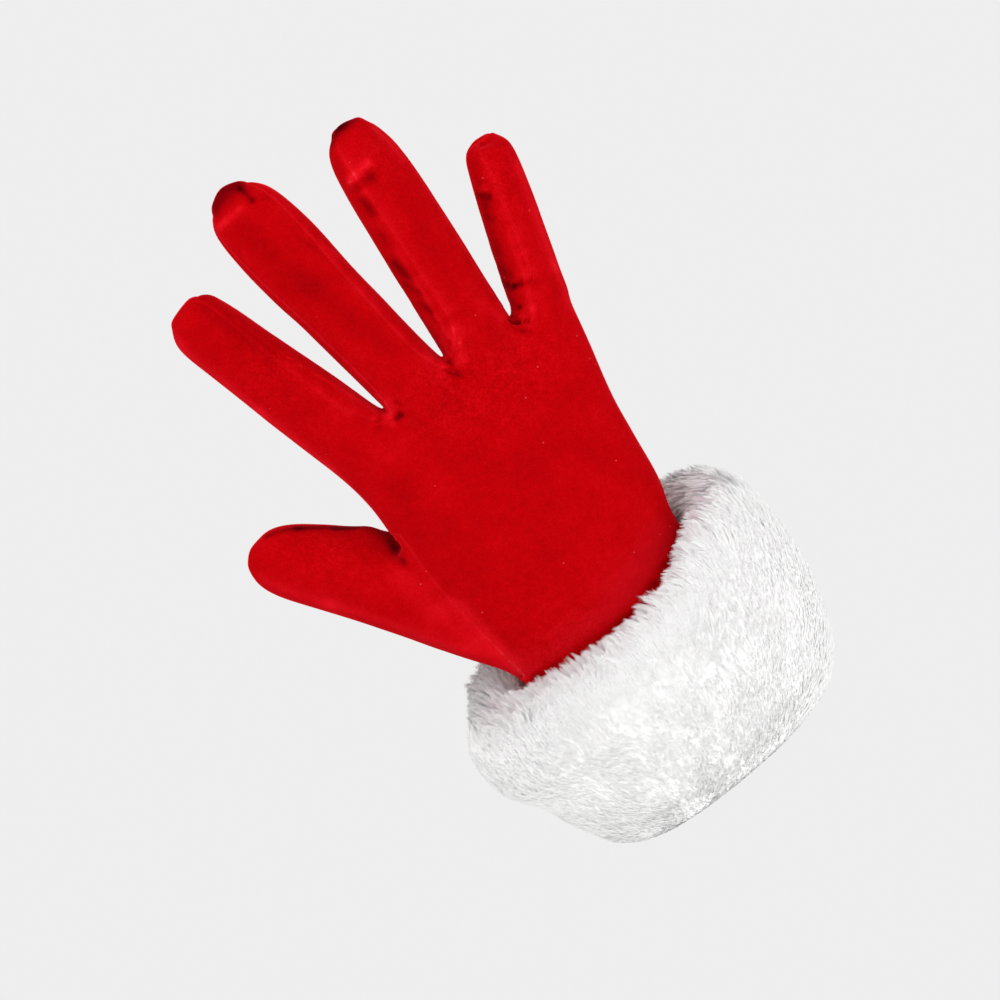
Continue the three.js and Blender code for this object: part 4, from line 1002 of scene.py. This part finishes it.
def off_cloth(points):
    """Moves points that come too near the sleeve or the hand straight out of its level section, whose
    sizes at the point's height come from the table of the hand."""
    x, y, z = points.T
    rows = hand_rows[::-1]
    left, right, deep, middle_y = (np.interp(z, rows[:, 0], rows[:, k]) for k in (1, 2, 3, 4))
    left = left - np.clip(z - gusset_foot, 0, gusset_height) * gusset_spread
    centre = (left + right) / 2
    wide = (right - left) / 2 + clear_of_cloth
    deep = deep + clear_of_cloth
    size = np.abs((x - centre) / wide) ** hand_squareness + np.abs((y - middle_y) / deep) ** hand_squareness
    grow = np.where(z > 0, np.maximum(1, size ** (-1 / hand_squareness)), 1)
    return np.stack([centre + (x - centre) * grow, middle_y + (y - middle_y) * grow, z], axis=1)


def spikes(root, tip, out, radius):
    """Closed three-sided spikes: three points round the root, and the tip. Also returns soft directions
    for the light to fall on, which lean from the ground's own outward direction towards each point's
    side, and a place of its own for each fibre on the map."""
    way = unit(tip - root)
    side = unit(np.cross(way, out + off_parallel))
    other = np.cross(way, side)
    turns = np.radians([30, 150, 270])[:, None]
    ring = np.cos(turns) * side[:, None] + np.sin(turns) * other[:, None]
    points = np.concatenate([root[:, None] + radius * ring, tip[:, None]], axis=1)
    towards = np.concatenate([out[:, None] + lean_out * ring, (out + lean_up * way)[:, None]], axis=1)
    number = np.arange(len(root))
    across = math.ceil(math.sqrt(len(root)))
    own = np.stack([number % across, number // across], axis=1)[:, None]
    spread = (own + np.array([(0.05, 0.05), (0.95, 0.05), (0.5, 0.25), (0.5, 0.95)])) / across
    faces = np.array([(0, 2, 1), (0, 1, 3), (1, 2, 3), (2, 0, 3)])[None] + 4 * number[:, None, None]
    return points.reshape(-1, 3), faces.reshape(-1, 3), unit(towards).reshape(-1, 3), spread.reshape(-1, 2)


def gathered(tip, turn, along, kind, rng):
    """The tips of the fibres drawn together: each moves a share of the way to the tip of its tuft's own
    fibre, which sprouts from a shifted point of a staggered grid of tufts."""
    tufts_round = round(2 * np.pi * cuff_radius / kind["tuft"])
    tufts_over = kind["pitch"] / kind["tuft"]
    column = np.floor(turn / (2 * np.pi) * tufts_round).astype(int) % tufts_round
    stagger = 0.5 * (column % 2)
    row = np.floor(along * tufts_over + stagger).astype(int)
    shifts = np.random.default_rng(6).uniform(0.05, 0.95, (tufts_round, pattern_rows, 2))
    shift = shifts[column, row % pattern_rows]
    tuft_turn = (column + shift[:, 0]) / tufts_round * 2 * np.pi
    tuft_along = np.clip((row - stagger + shift[:, 1]) / tufts_over, *kind["rows"])
    _, tuft_tip, _ = sprouting(tuft_turn, tuft_along, np.zeros((len(turn), 3)), kind["uneven"])
    return tip + (tuft_tip - tip) * rng.uniform(*kind["drawn"], (len(turn), 1))


pile, spot = new_material(
    "white_pile", Roughness=1.0, Specular_IOR_Level=0.0, Sheen_Weight=0.15, Sheen_Roughness=0.5)
pile_stops = [(0.35, (0.925, 0.92, 0.915, 1)), (0.65, (0.955, 0.955, 0.95, 1))]
white(spot, spot.noise(4, 2.0), pile_stops).into("Base Color")

cell_place, _ = cuff_point(turn, np.arange(pile_end * steps_per_row + 1)[None] / steps_per_row)
cell_round = np.roll(cell_place, -1, axis=0)[:, :-1] - cell_place[:, :-1]
cell_area = np.linalg.norm(np.cross(cell_round, np.diff(cell_place, axis=1)), axis=2)
for seed, (name, kind) in enumerate(pile_pieces.items()):
    rng = np.random.default_rng(40 + seed)
    count = kind["count"] // 1
    first, last = (int(row * steps_per_row) for row in kind["rows"])
    chances = cell_area[:, first:last].ravel()
    cell = rng.choice(chances.size, count, p=chances / chances.sum())
    cell_turn, cell_along = np.divmod(cell, last - first)
    own_turn = (cell_turn + rng.random(count)) * 2 * np.pi / ground_turns
    own_along = (first + cell_along + rng.random(count)) / steps_per_row
    sway = rng.normal(0, kind["sway"], (count, 3))
    root, tip, out = sprouting(own_turn, own_along, sway, kind["uneven"])
    tip = off_cloth(gathered(tip, own_turn, own_along, kind, rng))
    points, faces, towards, spread = spikes(root, tip, out, kind["radius"])
    piece = make_piece(name, points / 1000, faces, pile)
    piece.data.normals_split_custom_set_from_vertices(towards)
    layout = piece.data.uv_layers.new(name="OFBake")
    layout.uv.foreach_set("vector", spread[faces.ravel()].astype(np.float32).ravel())
    # the painted red reflection of the cloth, with painted shade, is strongest at the three root points and
    # fainter at the tip; the rim's painted shadows follow
    red_reflection_values = red_reflection_at(root, own_along)[:, None] * [1, 1, 1, tip_red_reflection]
    paint(piece, "blush", np.clip(red_reflection_values, 0, 1))
    paint(piece, "shade", shade_at(points))
    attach(piece, "root")
    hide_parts("plush_cuff")
